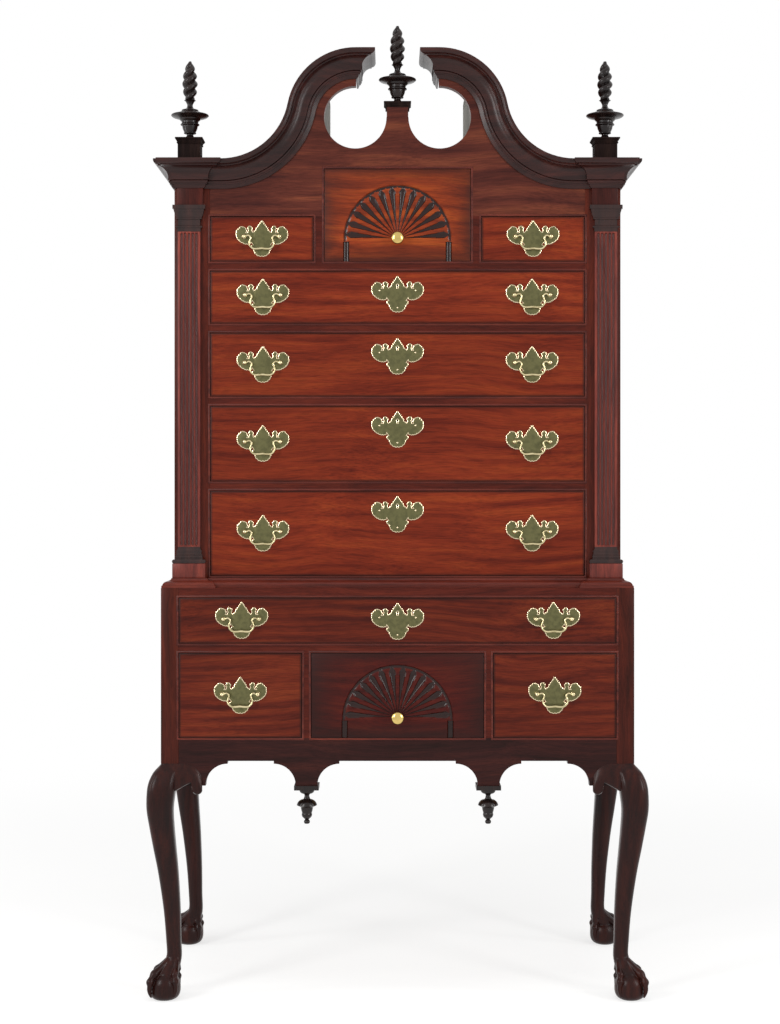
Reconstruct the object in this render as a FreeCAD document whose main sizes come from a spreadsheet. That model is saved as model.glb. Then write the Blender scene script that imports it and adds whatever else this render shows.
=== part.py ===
"""A scroll-top high chest of drawers in two cases on cabriole legs.

The chest stands on the plane Z = 0 with its front towards -Y.  Every driving size is a cell of the
sheet "Sizes" (plain millimetres) and every board, turning and moulding takes its place from them.
"""
import FreeCAD, Part
import math
import os
from types import SimpleNamespace

import Sketcher

Vector = FreeCAD.Vector
Placement = FreeCAD.Placement
Rotation = FreeCAD.Rotation

SIZES = {
    # lower case
    "lower_width": 1066,
    "lower_depth": 520,
    "post_size": 40,
    "side_board": 18,
    "side_inset": 2,
    "back_board": 14,
    "rail_depth": 60,
    "rail_height": 21,
    "top_rail": 21.5,
    "runner_width": 40,
    "guide_height": 32,
    "divider": 20,
    "lower_divider_at": 205,
    "skirt_board": 22,
    "skirt_top": 588,
    "base_row": 192,
    "base_long_row": 103.5,
    # shaped skirt
    "skirt_flat_drop": 51.4,
    "skirt_step_drop": 57.7,
    "pendant_drop": 107,
    "pendant_neck": 48.8,
    "leg_arch_run": 110,
    "side_skirt_rise": 42,
    "side_skirt_step": 6,
    "cap_width": 55.6,
    "cap_height": 10,
    "cap_overhang": 6,
    "drop_radius": 23,
    # legs
    "ball_radius": 36,
    "ball_inset": 2,
    "ball_flat": 8,
    "ankle_gap": -2,
    "claw_reach": 37,
    "claw_thick": 7,
    "block_reach": 55,
    "block_depth": 62,
    "block_thick": 16,
    # waist and upper case
    "waist_height": 21,
    "upper_inset": 26,
    "upper_setback": 40,
    "upper_side": 20,
    "top_board": 12,
    "top_clear": 3,
    "stile_thick": 22,
    "stile_width": 81,
    "bottom_rail": 25,
    "row_four": 194,
    "row_three": 172,
    "row_two": 145,
    "row_one": 120,
    "small_row": 103,
    "fan_row": 211,
    "upper_divider_at": 178.8,
    "upper_divider": 23.5,
    # pilasters
    "pilaster_in": 34,
    "shaft_width": 51,
    "shaft_thick": 9,
    "plinth_width": 75,
    "plinth_thick": 15,
    "plinth_height": 33,
    "base_height": 38,
    "flute_margin": 10,
    "flute_pitch": 8.3,
    "flute_radius": 2.7,
    "flute_count": 5,
    "capital_height": 60,
    "frieze_height": 100,
    "frieze_thick": 12,
    "frieze_inset": 7.5,
    # cornice and scrolls
    "cornice_lip": 1,
    "cornice_height": 62,
    "cornice_break": 66,
    "scroll_straight": 42.5,
    "scroll_low_radius": 154,
    "scroll_end": 94,
    "scroll_rise": 93.7,
    "scroll_return": 105,
    "scroll_lap": 3,
    "round_radius": 71,
    "round_at": 96,
    "round_rise": 101,
    "column_width": 49,
    "column_rise": 124,
    "column_block": 26,
    "hood_at": 168,
    "hood_board": 12,
    "roof_board": 8,
    # plinths and finials
    "plinth_cap": 62,
    "plinth_cap_height": 13,
    "side_plinth_block": 51,
    "side_plinth_height": 40,
    "finial_height": 178,
    "bud_turns": 2.25,
    # drawers
    "drawer_gap": 1.0,
    "drawer_lift": 0.4,
    "front_thick": 22,
    "lining": 11,
    "lining_drop": 12,
    "fan_lining_drop": 90,
    "drawer_bottom": 7,
    "drawer_back_gap": 18,
    "upper_fan_radius": 123.5,
    "upper_fan_rise": 52,
    "lower_fan_radius": 125,
    "lower_fan_rise": 47,
    "fan_sinking": 3.5,
    "fan_strip": 12,
    "fan_edge": 7,
    "hollow_half": 7.5,
    # brasses
    "plate_thick": 2,
    "plate_half": 59.5,
    "handle_lift": 4,
    "handle_from_stile": 120,
    "base_handle_at": 351,
    "post_spread": 80.6,
    "post_stem": 5,
    "post_head": 5.2,
    "post_reach": 13,
    "pin_radius": 1.6,
    "pin_fit": 0.12,
    "bail_wire": 2.3,
    "bail_drop": 30,
    "bail_half": 29.5,
    "nut_across": 12,
    "nut_thick": 4,
    "knob_radius": 14.5,
    "lock_width": 62,
    "lock_height": 45,
    "lock_thick": 8,
    "key_from_top": 33,
    "key_over_plate": 17,
    "keyhole": 3.2,
}


class Size:
    """A length that knows both its number and the sheet expression that gives it."""

    def __init__(self, text, number):
        self.text = text
        self.number = float(number)

    def joined(self, sign, other, number):
        return Size("(%s %s %s)" % (self.text, sign, as_size(other).text), number)

    def __add__(self, other):
        return self.joined("+", other, self.number + as_size(other).number)

    def __radd__(self, other):
        return as_size(other) + self

    def __sub__(self, other):
        return self.joined("-", other, self.number - as_size(other).number)

    def __rsub__(self, other):
        return as_size(other) - self

    def __mul__(self, other):
        return self.joined("*", other, self.number * as_size(other).number)

    def __rmul__(self, other):
        return as_size(other) * self

    def __truediv__(self, other):
        return self.joined("/", other, self.number / as_size(other).number)

    def __neg__(self):
        return as_size(0) - self

    def __float__(self):
        return self.number


def as_size(value):
    """Any plain number as a Size."""
    if isinstance(value, Size):
        return value
    return Size("%.6g" % value if value >= 0 else "(%.6g)" % value, value)


def make_sheet(doc):
    """The sheet of driving sizes, and the same sizes as Python names."""
    sheet = doc.addObject("Spreadsheet::Sheet", "Sizes")
    for row, (alias, number) in enumerate(SIZES.items(), 1):
        sheet.set("A%d" % row, alias)
        sheet.set("B%d" % row, "%.9g" % number)
        sheet.setAlias("B%d" % row, alias)
    doc.recompute()
    return SimpleNamespace(**{alias: Size("Sizes." + alias, sheet.get(alias)) for alias in SIZES})


doc = FreeCAD.newDocument("high_chest")
D = make_sheet(doc)


# ---------------------------------------------------------------- small helpers

def bind(obj, prop, value):
    """Bind one property to the sheet."""
    obj.setExpression(prop, as_size(value).text)


def place(obj, x=0, y=0, z=0, axis=None, angle=0):
    """Place an object at a point given by sizes, turned by a plain angle."""
    if axis is not None:
        obj.Placement = Placement(Vector(float(x), float(y), float(z)), Rotation(Vector(*axis), angle))
    for key, value in (("x", x), ("y", y), ("z", z)):
        bind(obj, "Placement.Base." + key, value)
    return obj


def board(x, y, z, name="Board"):
    """A straight board between pairs of sizes."""
    obj = doc.addObject("Part::Box", name)
    for prop, (low, high) in (("Length", x), ("Width", y), ("Height", z)):
        bind(obj, prop, as_size(high) - low)
    return place(obj, x[0], y[0], z[0])


def both_sides(x, y, z, name="Board"):
    """The same board on the right and, mirrored, on the left."""
    return [board(x, y, z, name), board((-as_size(x[1]), -as_size(x[0])), y, z, name)]


def rod(radius, length, x, y, z, axis=(1, 0, 0), angle=90, name="Rod"):
    """A cylinder that starts at a point; the default turn points it towards -Y."""
    obj = doc.addObject("Part::Cylinder", name)
    bind(obj, "Radius", radius)
    bind(obj, "Height", length)
    return place(obj, x, y, z, axis, angle)


def mirrored(source, normal=(1, 0, 0), name="Mirrored"):
    """A mirror image through the origin."""
    obj = doc.addObject("Part::Mirroring", name)
    obj.Source = source
    obj.Normal = Vector(*normal)
    return obj


def difference(base, *tools):
    """Base less the tools."""
    cut = doc.addObject("Part::Cut", "Cut")
    cut.Base = base
    if len(tools) == 1:
        cut.Tool = tools[0]
    else:
        group = doc.addObject("Part::Compound", "Tools")
        group.Links = list(tools)
        cut.Tool = group
    return cut


def union(*parts):
    """One solid out of several that touch."""
    fuse = doc.addObject("Part::MultiFuse", "Fused")
    fuse.Shapes = list(parts)
    return fuse


def feature(shape, name="Form"):
    """A form that Part's own functions make."""
    obj = doc.addObject("Part::Feature", name)
    obj.Shape = shape
    return obj


def feature_at(shape, x, y, z, name="Form"):
    """Such a form made on the origin and then placed."""
    obj = feature(shape, name)
    obj.Placement = Placement(Vector(float(x), float(y), float(z)), Rotation())
    return obj


NODES = []


def node(label, parts):
    """A named sub-part: one piece, or a group of separate solids."""
    if len(parts) == 1 and parts[0].TypeId != "Part::Compound":
        obj = parts[0]
    else:
        obj = doc.addObject("Part::Compound", "Node")
        obj.Links = list(parts)
    obj.Label = label
    NODES.append(obj)
    return obj


PLANES = {
    "front": ("XZ_Plane", Rotation(Vector(1, 0, 0), 90)),
    "side": ("YZ_Plane", Rotation(Vector(1, 1, 1), 120)),
    "plan": ("XY_Plane", Rotation()),
}


def new_sketch(body, plane, lift, name):
    """A sketch on one of the body's origin planes, lifted along that plane's normal."""
    role = PLANES[plane][0]
    sketch = body.newObject("Sketcher::SketchObject", name)
    base = [item for item in body.Origin.OriginFeatures if item.Role == role][0]
    sketch.AttachmentSupport = [(base, "")]
    sketch.MapMode = "FlatFace"
    bind(sketch, "AttachmentOffset.Base.z", lift)
    return sketch


def draw(sketch, corners):
    """A closed outline.  A corner is (x, y) or (x, y, radius): the edge that leaves it is then an arc,
    with its centre on the left of the way for a positive radius and on the right for a negative one."""
    count = len(corners)
    ends = [(as_size(c[0]), as_size(c[1])) for c in corners]
    edges = []
    for index in range(count):
        start = Vector(float(ends[index][0]), float(ends[index][1]), 0)
        end = Vector(*[float(v) for v in ends[(index + 1) % count]], 0)
        bulge = corners[index][2] if len(corners[index]) > 2 else None
        if bulge is None:
            edges.append(sketch.addGeometry(Part.LineSegment(start, end), False))
        else:
            edges.append(sketch.addGeometry(arc_between(start, end, float(bulge)), False))
    for index in range(count):
        here, after = edges[index], edges[(index + 1) % count]
        tail = 2 if forward(corners, index) else 1
        head = 1 if forward(corners, (index + 1) % count) else 2
        sketch.addConstraint(Sketcher.Constraint("Coincident", here, tail, after, head))
    for index, (x, y) in enumerate(ends):
        first = 1 if forward(corners, index) else 2
        for kind, value in (("DistanceX", x), ("DistanceY", y)):
            row = sketch.addConstraint(Sketcher.Constraint(kind, -1, 1, edges[index], first, value.number))
            sketch.setExpression("Constraints[%d]" % row, value.text)
        bulge = corners[index][2] if len(corners[index]) > 2 else None
        if bulge is not None:
            size = as_size(bulge) if float(bulge) > 0 else -as_size(bulge)
            row = sketch.addConstraint(Sketcher.Constraint("Radius", edges[index], size.number))
            sketch.setExpression("Constraints[%d]" % row, size.text)
    return sketch


def forward(corners, index):
    """Arcs run anticlockwise, so one with its centre on the right is stored end first."""
    corner = corners[index]
    return len(corner) < 3 or float(corner[2]) > 0


def arc_between(start, end, bulge):
    """The shorter arc from start to end, its centre on the left for a positive bulge."""
    way = end - start
    half = way.Length / 2
    radius = max(abs(bulge), half * 1.0000001)
    left = Vector(-way.y, way.x, 0).normalize()
    height = math.sqrt(radius * radius - half * half)
    centre = start + way * 0.5 + left * (height if bulge > 0 else -height)
    circle = Part.Circle(centre, Vector(0, 0, 1), radius)
    first, last = (start, end) if bulge > 0 else (end, start)
    return Part.ArcOfCircle(circle, circle.parameter(first), circle.parameter(last))


def new_body(name):
    return doc.addObject("PartDesign::Body", name)


def sawn(name, plane, lift, corners, length):
    """A board sawn to an outline: a body with one pad."""
    body = new_body(name)
    pad_on(body, plane, lift, corners, length)
    return body


def pad_on(body, plane, lift, corners, length):
    sketch = draw(new_sketch(body, plane, lift, "Outline"), corners)
    pad = body.newObject("PartDesign::Pad", "Pad")
    pad.Profile = sketch
    bind(pad, "Length", length)
    return pad


def scaled(pattern, unit):
    """An outline drawn at full size, enlarged or reduced with its piece."""
    return [tuple(unit * value for value in corner) for corner in pattern]


def turned(name, corners):
    """A turning on its own Z axis, from its half outline in (radius, height)."""
    body = new_body(name)
    sketch = draw(new_sketch(body, "front", 0, "Half_outline"), corners)
    turn = body.newObject("PartDesign::Revolution", "Turning")
    turn.Profile = sketch
    turn.ReferenceAxis = (sketch, ["V_Axis"])
    turn.Angle = 360
    return body


# ---------------------------------------------------------------- shared places

LOWER_HALF = D.lower_width / 2
LOWER_FRONT = -D.lower_depth / 2
LOWER_BACK = D.lower_depth / 2
POST_IN = LOWER_HALF - D.post_size
POST_BACK_OF_FRONT = LOWER_FRONT + D.post_size
POST_FRONT_OF_BACK = LOWER_BACK - D.post_size
SIDE_OUT = LOWER_HALF - D.side_inset
SIDE_IN = SIDE_OUT - D.side_board
BACK_OUT = LOWER_BACK - D.side_inset
BACK_IN = BACK_OUT - D.back_board
LOWER_RAIL_BACK = LOWER_FRONT + D.rail_depth

SKIRT_FLAT = D.skirt_top - D.skirt_flat_drop
SKIRT_STEP = D.skirt_top - D.skirt_step_drop
PENDANT_LOW = D.skirt_top - D.pendant_drop
POST_FOOT = SKIRT_STEP
BASE_ROW_HIGH = D.skirt_top + D.base_row
BASE_LONG_LOW = BASE_ROW_HIGH + D.rail_height
BASE_LONG_HIGH = BASE_LONG_LOW + D.base_long_row
LOWER_TOP = BASE_LONG_HIGH + D.top_rail
WAIST_TOP = LOWER_TOP + D.waist_height

UPPER_HALF = LOWER_HALF - D.upper_inset
UPPER_FRONT = LOWER_FRONT + D.upper_setback
STILE_BACK = UPPER_FRONT + D.stile_thick
UPPER_RAIL_BACK = UPPER_FRONT + D.rail_depth
UPPER_SIDE_IN = UPPER_HALF - D.upper_side
UPPER_BACK_OUT = LOWER_BACK
UPPER_BACK_IN = UPPER_BACK_OUT - D.back_board
OPENING_HALF = UPPER_HALF - D.stile_width

BOTTOM_RAIL = LOWER_TOP + D.bottom_rail
ROW_FOUR_HIGH = BOTTOM_RAIL + D.row_four
ROW_THREE_LOW = ROW_FOUR_HIGH + D.rail_height
ROW_THREE_HIGH = ROW_THREE_LOW + D.row_three
ROW_TWO_LOW = ROW_THREE_HIGH + D.rail_height
ROW_TWO_HIGH = ROW_TWO_LOW + D.row_two
ROW_ONE_LOW = ROW_TWO_HIGH + D.rail_height
ROW_ONE_HIGH = ROW_ONE_LOW + D.row_one
TOP_ROW_LOW = ROW_ONE_HIGH + D.rail_height
SMALL_HIGH = TOP_ROW_LOW + D.small_row
FAN_HIGH = TOP_ROW_LOW + D.fan_row
UPPER_TOP = FAN_HIGH + D.top_clear

CORNICE_TOP = UPPER_TOP + D.top_board + D.cornice_lip
CORNICE_REACH = D.cornice_height * 0.7
PILASTER_AT = UPPER_HALF - D.pilaster_in
PLINTH_HIGH = WAIST_TOP + D.plinth_height
BASE_HIGH = PLINTH_HIGH + D.base_height
CAPITAL_HIGH = CORNICE_TOP - D.frieze_height
CAPITAL_LOW = CAPITAL_HIGH - D.capital_height
SCROLL_LOW_AT = UPPER_HALF - D.cornice_break - D.scroll_straight
SCROLL_HIGH_Z = CORNICE_TOP + D.scroll_rise
ROUND_Z = CORNICE_TOP + D.round_rise
COLUMN_TOP = CORNICE_TOP + D.column_rise


# ---------------------------------------------------------------- lower case

LEG_PATTERN = [
    # share of the way down, step back from the post's outer faces, half width, corner radius
    (0.0, 20.0, 19.4, 5.0),
    (0.007, 18.8, 20.6, 5.5),
    (0.022, 15.5, 23.3, 7.0),
    (0.061, 7.0, 28.6, 10.0),
    (0.135, 1.2, 31.6, 13.0),
    (0.218, -1.8, 29.0, 14.0),
    (0.306, 0.0, 25.2, 14.0),
    (0.415, 6.0, 22.8, 14.0),
    (0.546, 13.5, 20.0, 13.5),
    (0.721, 21.0, 17.2, 13.0),
    (0.873, 25.0, 16.0, 13.0),
    (0.952, 26.5, 16.6, 13.0),
    (1.0, 20.0, 21.0, 14.0),
]


def leg_sections():
    """Heights, steps back from the post's outer faces, half widths and corner radii down the leg."""
    unit = D.post_size / 40
    ankle = D.ball_radius * 2 + D.ankle_gap
    return [(POST_FOOT - (POST_FOOT - ankle) * share, unit * step, unit * half, unit * corner)
            for share, step, half, corner in LEG_PATTERN]


def cabriole_leg():
    """Front left leg: a post, a bowed loft with its ridge on the outer diagonal, ball and claws."""
    body = new_body("Leg")
    sketches = []
    for height, step, half, corner in leg_sections():
        middle_x = -LOWER_HALF + step
        middle_y = LOWER_FRONT + step
        sketch = new_sketch(body, "plan", height, "Section")
        x0, x1 = middle_x - half, middle_x + half
        y0, y1 = middle_y - half, middle_y + half
        draw(sketch, [
            (x0 + corner, y0), (x1 - corner, y0, corner), (x1, y0 + corner), (x1, y1 - corner, corner),
            (x1 - corner, y1), (x0 + corner, y1, corner), (x0, y1 - corner), (x0, y0 + corner, corner)])
        sketches.append(sketch)
    loft = body.newObject("PartDesign::AdditiveLoft", "Bow")
    loft.Profile = sketches[0]
    loft.Sections = sketches[1:]
    loft.Ruled = False
    high = (POST_FOOT, LOWER_TOP)
    post = board((-LOWER_HALF, -POST_IN), (LOWER_FRONT, POST_BACK_OF_FRONT), high, "Post")
    return union(body, post, *ball_and_claws())


def ball_and_claws():
    """A ball flat on the floor, held by four talons that run down from the ankle."""
    middle_x = -LOWER_HALF + D.ball_inset
    middle_y = LOWER_FRONT + D.ball_inset
    ball_z = D.ball_radius - D.ball_flat
    ball = doc.addObject("Part::Sphere", "Ball")
    bind(ball, "Radius", D.ball_radius)
    place(ball, middle_x, middle_y, ball_z)
    reach = D.claw_reach
    wide = reach * 2
    under = board((middle_x - wide, middle_x + wide), (middle_y - wide, middle_y + wide), (-wide, 0), "Floor_cut")
    parts = [ball]
    for turn in (45, 135, 225, 315):
        parts.append(talon(float(middle_x), float(middle_y), float(ball_z), turn))
    return [difference(union(*parts), under)]


# angle up the ball where a toe bone starts and ends, and its thickness there as a share of the claw's
TOE_BONES = [(82, 42, 1.25, 1.05), (42, 4, 1.05, 0.9), (4, -34, 0.9, 0.45)]


def talon(x, y, z, turn):
    """One talon: a tapering toe bent over the ball, with knuckles at its joints."""
    centre = Vector(x, y, z)
    way = Vector(math.cos(math.radians(turn)), math.sin(math.radians(turn)), 0)
    reach = float(D.claw_reach)
    thick = float(D.claw_thick)
    up = Vector(0, 0, 1)

    def at(angle, radius=reach):
        bend = math.radians(angle)
        return centre + way * (radius * math.cos(bend)) + up * (radius * math.sin(bend))

    toes = []
    knuckle = 1.06
    for start, end, wide_start, wide_end in TOE_BONES:
        base, tip = at(start), at(end)
        length = (tip - base).Length
        toes.append(Part.makeCone(thick * wide_start, thick * wide_end, length, base, tip - base))
        toes.append(Part.makeSphere(thick * wide_start * knuckle, base))
    toes.append(Part.makeSphere(thick * wide_end, tip))
    shape = toes[0].multiFuse(toes[1:])
    return feature(shape, "Talon")


def legs_node():
    leg = cabriole_leg()
    right = mirrored(leg)
    node("cabriole_legs", [leg, right, mirrored(leg, (0, 1, 0)), mirrored(right, (0, 1, 0))])


def knee_block_outline(start):
    """The ear seen from outside, running away from the leg: arched top, hollow below, scrolled end."""
    top = SKIRT_STEP
    low = top - D.block_depth
    end = start + D.block_reach
    return [(start, low, -40), (end - 26, low + 13.5), (end - 23, low + 4, 12), (end - 11, low - 7.5, 11),
            (end - 1, low + 4), (end - 2, low + 22, 48), (start + 8, top), (start, top)]


def knee_blocks_node():
    """Brackets beside each knee, glued on the skirt and on the side boards."""
    front = sawn("Front_block", "front", -LOWER_FRONT, knee_block_outline(-POST_IN), D.block_thick)
    side = sawn("Side_block", "side", SIDE_OUT, knee_block_outline(POST_BACK_OF_FRONT), D.block_thick)
    left = mirrored(side)
    back = [mirrored(side, (0, 1, 0)), mirrored(left, (0, 1, 0))]
    node("knee_blocks", [front, mirrored(front), side, left] + back)


def skirt_outline():
    """Front skirt: arches with raised flats between two square pendants."""
    flat_left = POST_IN - D.leg_arch_run
    neck_in = D.lower_divider_at - D.pendant_neck / 2
    neck_out = D.lower_divider_at + D.pendant_neck / 2
    radius = SKIRT_STEP - PENDANT_LOW
    flat_in = neck_in - radius
    flat_out = neck_out + radius
    leg_end = flat_left + radius
    right = [
        (flat_in, SKIRT_FLAT), (flat_in, SKIRT_STEP, -radius), (neck_in, PENDANT_LOW),
        (neck_out, PENDANT_LOW, -radius), (flat_out, SKIRT_STEP), (flat_out, SKIRT_FLAT),
        (flat_left, SKIRT_FLAT), (flat_left, SKIRT_STEP, -radius),
        (leg_end, PENDANT_LOW), (POST_IN, PENDANT_LOW), (POST_IN, D.skirt_top)]
    return mirror_outline(right)


def mirror_outline(right):
    """A closed outline from its right half, which runs anticlockwise from bottom to top."""
    left = []
    for index in range(len(right) - 1, -1, -1):
        x, y = -as_size(right[index][0]), right[index][1]
        bulge = right[index - 1][2] if index > 0 and len(right[index - 1]) > 2 else None
        left.append((x, y) if bulge is None else (x, y, bulge))
    return right + left


DROP_PATTERN = [
    (0, 0), (0, -80), (5, -79, 5.5), (4, -70), (8, -66, 9), (11, -55), (13, -48), (14, -42),
    (23, -37, 16), (13, -25, -6), (6.3, -19, -5.5), (9, -11, 8), (17, -4), (17, 0)]


def drops_node():
    """Under each pendant a square cap and a turned drop: neck, dome, stepped cone and bead."""
    pieces = []
    half = D.cap_width / 2
    y = LOWER_FRONT + half - D.cap_overhang
    low = PENDANT_LOW - D.cap_height
    for side in (-1, 1):
        x = D.lower_divider_at * side
        pieces.append(board((x - half, x + half), (y - half, y + half), (low, PENDANT_LOW), "Cap"))
        pieces.append(place(turned("Drop", scaled(DROP_PATTERN, D.drop_radius / 23)), x, y, low))
    node("drop_pendants", pieces)


def side_skirt_outline():
    """Side board between the posts, its lower edge raised in one stepped arch."""
    reach = POST_FRONT_OF_BACK
    rise = D.side_skirt_rise
    flat = reach - D.block_reach - rise
    low = PENDANT_LOW
    right = [(flat, low + rise + D.side_skirt_step), (flat, low + rise, -rise), (flat + rise, low),
             (reach, low), (reach, LOWER_TOP)]
    return mirror_outline(right)


def lower_panels_node():
    """Two side boards tenoned between the posts, and the back board."""
    right = sawn("Side", "side", SIDE_IN, side_skirt_outline(), D.side_board)
    back = board((-POST_IN, POST_IN), (BACK_IN, BACK_OUT), (SKIRT_FLAT, LOWER_TOP), "Back")
    node("lower_case_panels", [right, mirrored(right), back])


def lower_rails_node():
    """Front rails, dividers, runners with their guides, and the cleats that carry the upper case."""
    pieces = []
    front = (LOWER_FRONT, LOWER_RAIL_BACK)
    across = (-POST_IN, POST_IN)
    pieces.append(board(across, front, (BASE_LONG_HIGH, LOWER_TOP), "Top_rail"))
    pieces.append(board(across, front, (BASE_ROW_HIGH, BASE_LONG_LOW), "Middle_rail"))
    half = D.divider / 2
    inner = (D.lower_divider_at - half, D.lower_divider_at + half)
    pieces += both_sides(inner, front, (D.skirt_top, BASE_ROW_HIGH), "Divider")
    edge = (POST_IN - D.runner_width, POST_IN)
    guide = (POST_IN, SIDE_IN)
    behind = (LOWER_RAIL_BACK, BACK_IN)
    guide_run = (LOWER_RAIL_BACK, POST_FRONT_OF_BACK)
    skirt_back = LOWER_FRONT + D.skirt_board
    pieces += both_sides(edge, behind, (BASE_ROW_HIGH, BASE_LONG_LOW), "Runner")
    pieces += both_sides(guide, guide_run, (BASE_ROW_HIGH, BASE_LONG_LOW + D.guide_height), "Guide")
    row_runner = (D.skirt_top - D.rail_height, D.skirt_top)
    pieces += both_sides(edge, (skirt_back, BACK_IN), row_runner, "Runner")
    wide = (D.lower_divider_at - D.runner_width, D.lower_divider_at + D.runner_width)
    pieces += both_sides(wide, (skirt_back, BACK_IN), row_runner, "Runner")
    pieces += both_sides(inner, behind, (D.skirt_top, D.skirt_top + D.guide_height), "Guide")
    row_guide = (D.skirt_top - D.rail_height, D.skirt_top + D.guide_height)
    pieces += both_sides(guide, guide_run, row_guide, "Guide")
    cleat = (UPPER_SIDE_IN - D.runner_width, SIDE_IN)
    pieces += both_sides(cleat, guide_run, (BASE_LONG_HIGH, LOWER_TOP), "Cleat")
    node("lower_rails_and_runners", pieces)


# ---------------------------------------------------------------- mouldings

def section(corners, origin, out, up):
    """A moulding's section as a wire: (out, up) distances from the origin in the given directions."""
    points = []
    for index, corner in enumerate(corners):
        after = corners[(index + 1) % len(corners)]
        start = Vector(float(corner[0]), float(corner[1]), 0)
        end = Vector(float(after[0]), float(after[1]), 0)
        if len(corner) > 2:
            arc = arc_between(start, end, float(corner[2]))
            middle = arc.value((arc.FirstParameter + arc.LastParameter) / 2)
            points.append((start, middle, end))
        else:
            points.append((start, None, end))

    def world(p):
        return origin + out * p.x + up * p.y

    edges = []
    for start, middle, end in points:
        if middle is None:
            edges.append(Part.makeLine(world(start), world(end)))
        else:
            edges.append(Part.Arc(world(start), world(middle), world(end)).toShape())
    return Part.Wire(edges)


CORNICE_PATTERN = [
    # (reach, height below the top): slant, bead and fillets, a large cove, an ovolo under the top fillet
    (0, -60), (3, -60), (6.5, -52), (9, -52), (9, -49, 3.2), (9, -43), (12.5, -43), (12.5, -39.5, -23.5),
    (29, -14.5), (33, -14.5), (33, -12, 9.5), (42, -4), (42, 0), (0, 0)]

WAIST_PATTERN = [
    # (reach, height): fillet, ovolo, fillet and cove, with the widest member at the bottom
    (0, 0), (25, 0), (25, 5), (23, 5), (23, 6, 10), (14, 14), (12, 14, -9), (5, 20), (5, 21), (0, 21)]


def cornice_section():
    return scaled(CORNICE_PATTERN, D.cornice_height / 60)


def waist_section():
    return scaled(WAIST_PATTERN, D.waist_height / 21)


def mitred_run(profile, path, z):
    """A moulding along a plan path with mitred corners; its outside lies on the left of the way."""
    points = [Vector(float(x), float(y), float(z)) for x, y in path]
    ways = [(after - here).normalize() for here, after in zip(points, points[1:])]
    spare = 80.0
    runs = []
    for index, way in enumerate(ways):
        out = Vector(-way.y, way.x, 0)
        face = Part.Face(section(profile, points[index] - way * spare, out, Vector(0, 0, 1)))
        run = face.extrude(way * ((points[index + 1] - points[index]).Length + 2 * spare))
        before = ways[index - 1] * -1 if index > 0 else None
        after = ways[index + 1] if index + 1 < len(ways) else None
        run = run.cut(beyond_mitre(points[index], way * -1, before))
        run = run.cut(beyond_mitre(points[index + 1], way, after))
        runs.append(run)
    return runs[0].fuse(runs[1:]).removeSplitter()


def beyond_mitre(corner, outward, other):
    """A large block beyond a corner's mitre plane, which halves the angle between the two runs."""
    normal = outward
    if other is not None:
        halving = other - outward
        normal = Vector(-halving.y, halving.x, 0).normalize()
        if normal.dot(outward) < 0:
            normal = normal * -1
    size = 1200.0
    block = Part.makeBox(size, size, size, Vector(0, -size / 2, -size / 2))
    block.Placement = Placement(corner, Rotation(Vector(1, 0, 0), normal))
    return block


def waist_node():
    """The moulding that hides the joint of the two cases and breaks around the pilaster plinths."""
    side = UPPER_HALF
    front = UPPER_FRONT
    break_out = UPPER_FRONT - D.plinth_thick
    inner = PILASTER_AT - D.plinth_width / 2
    path = [(-side, UPPER_BACK_OUT), (-side, break_out), (-inner, break_out), (-inner, front),
            (inner, front), (inner, break_out), (side, break_out), (side, UPPER_BACK_OUT)]
    run = mitred_run(waist_section(), list(reversed(path)), LOWER_TOP)
    node("waist_moulding", [feature(run, "Waist")])


# ---------------------------------------------------------------- upper case

def scroll_frame():
    """Centres and radii of the two arcs of a scroll's outer edge, and the point where they meet."""
    low = Vector(-float(SCROLL_LOW_AT), float(CORNICE_TOP + D.scroll_low_radius), 0)
    high = Vector(-float(D.scroll_end), float(SCROLL_HIGH_Z), 0)
    way = high - low
    low_radius = float(D.scroll_low_radius)
    high_radius = way.Length - low_radius
    meet = low + way.normalize() * low_radius
    return SimpleNamespace(low=low, high=high, low_radius=low_radius, high_radius=high_radius, meet=meet)


def scroll_points(drop_in):
    """Left scroll line, moved in from the outer edge by drop_in: bottom, meeting and inner end."""
    frame = scroll_frame()
    low_radius = frame.low_radius + drop_in
    high_radius = frame.high_radius - drop_in
    way = (frame.high - frame.low).normalize()
    start = Vector(frame.low.x, frame.low.y - low_radius, 0)
    meet = frame.low + way * low_radius
    end_x = -float(D.scroll_end)
    end = Vector(end_x, frame.high.y + math.sqrt(high_radius ** 2 - (end_x - frame.high.x) ** 2), 0)
    return start, meet, end, low_radius, high_radius


def front_face(edges_2d, y):
    """A face in the front plane at y from 2D edges given as (x, z) points and arc middles."""
    edges = []
    for edge in edges_2d:
        spots = [Vector(p.x, y, p.y) for p in edge]
        if len(spots) == 2:
            edges.append(Part.makeLine(spots[0], spots[1]))
        else:
            edges.append(Part.Arc(*spots).toShape())
    return Part.Face(Part.Wire(Part.sortEdges(edges)[0]))


def arc_middle(start, end, centre, radius):
    middle = (start + end) * 0.5 - centre
    return centre + middle.normalize() * radius


def scroll_top_edges(drop_in, side):
    """The scroll's line from the corner to the inner end, as edges; side is -1 left or 1 right."""
    frame = scroll_frame()
    start, meet, end, low_radius, high_radius = scroll_points(drop_in)

    def flip(p):
        return Vector(p.x * -side, p.y, 0)

    first = [start, arc_middle(start, meet, frame.low, low_radius), meet]
    second = [meet, arc_middle(meet, end, frame.high, high_radius), end]
    return [[flip(p) for p in first], [flip(p) for p in second]]


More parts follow.
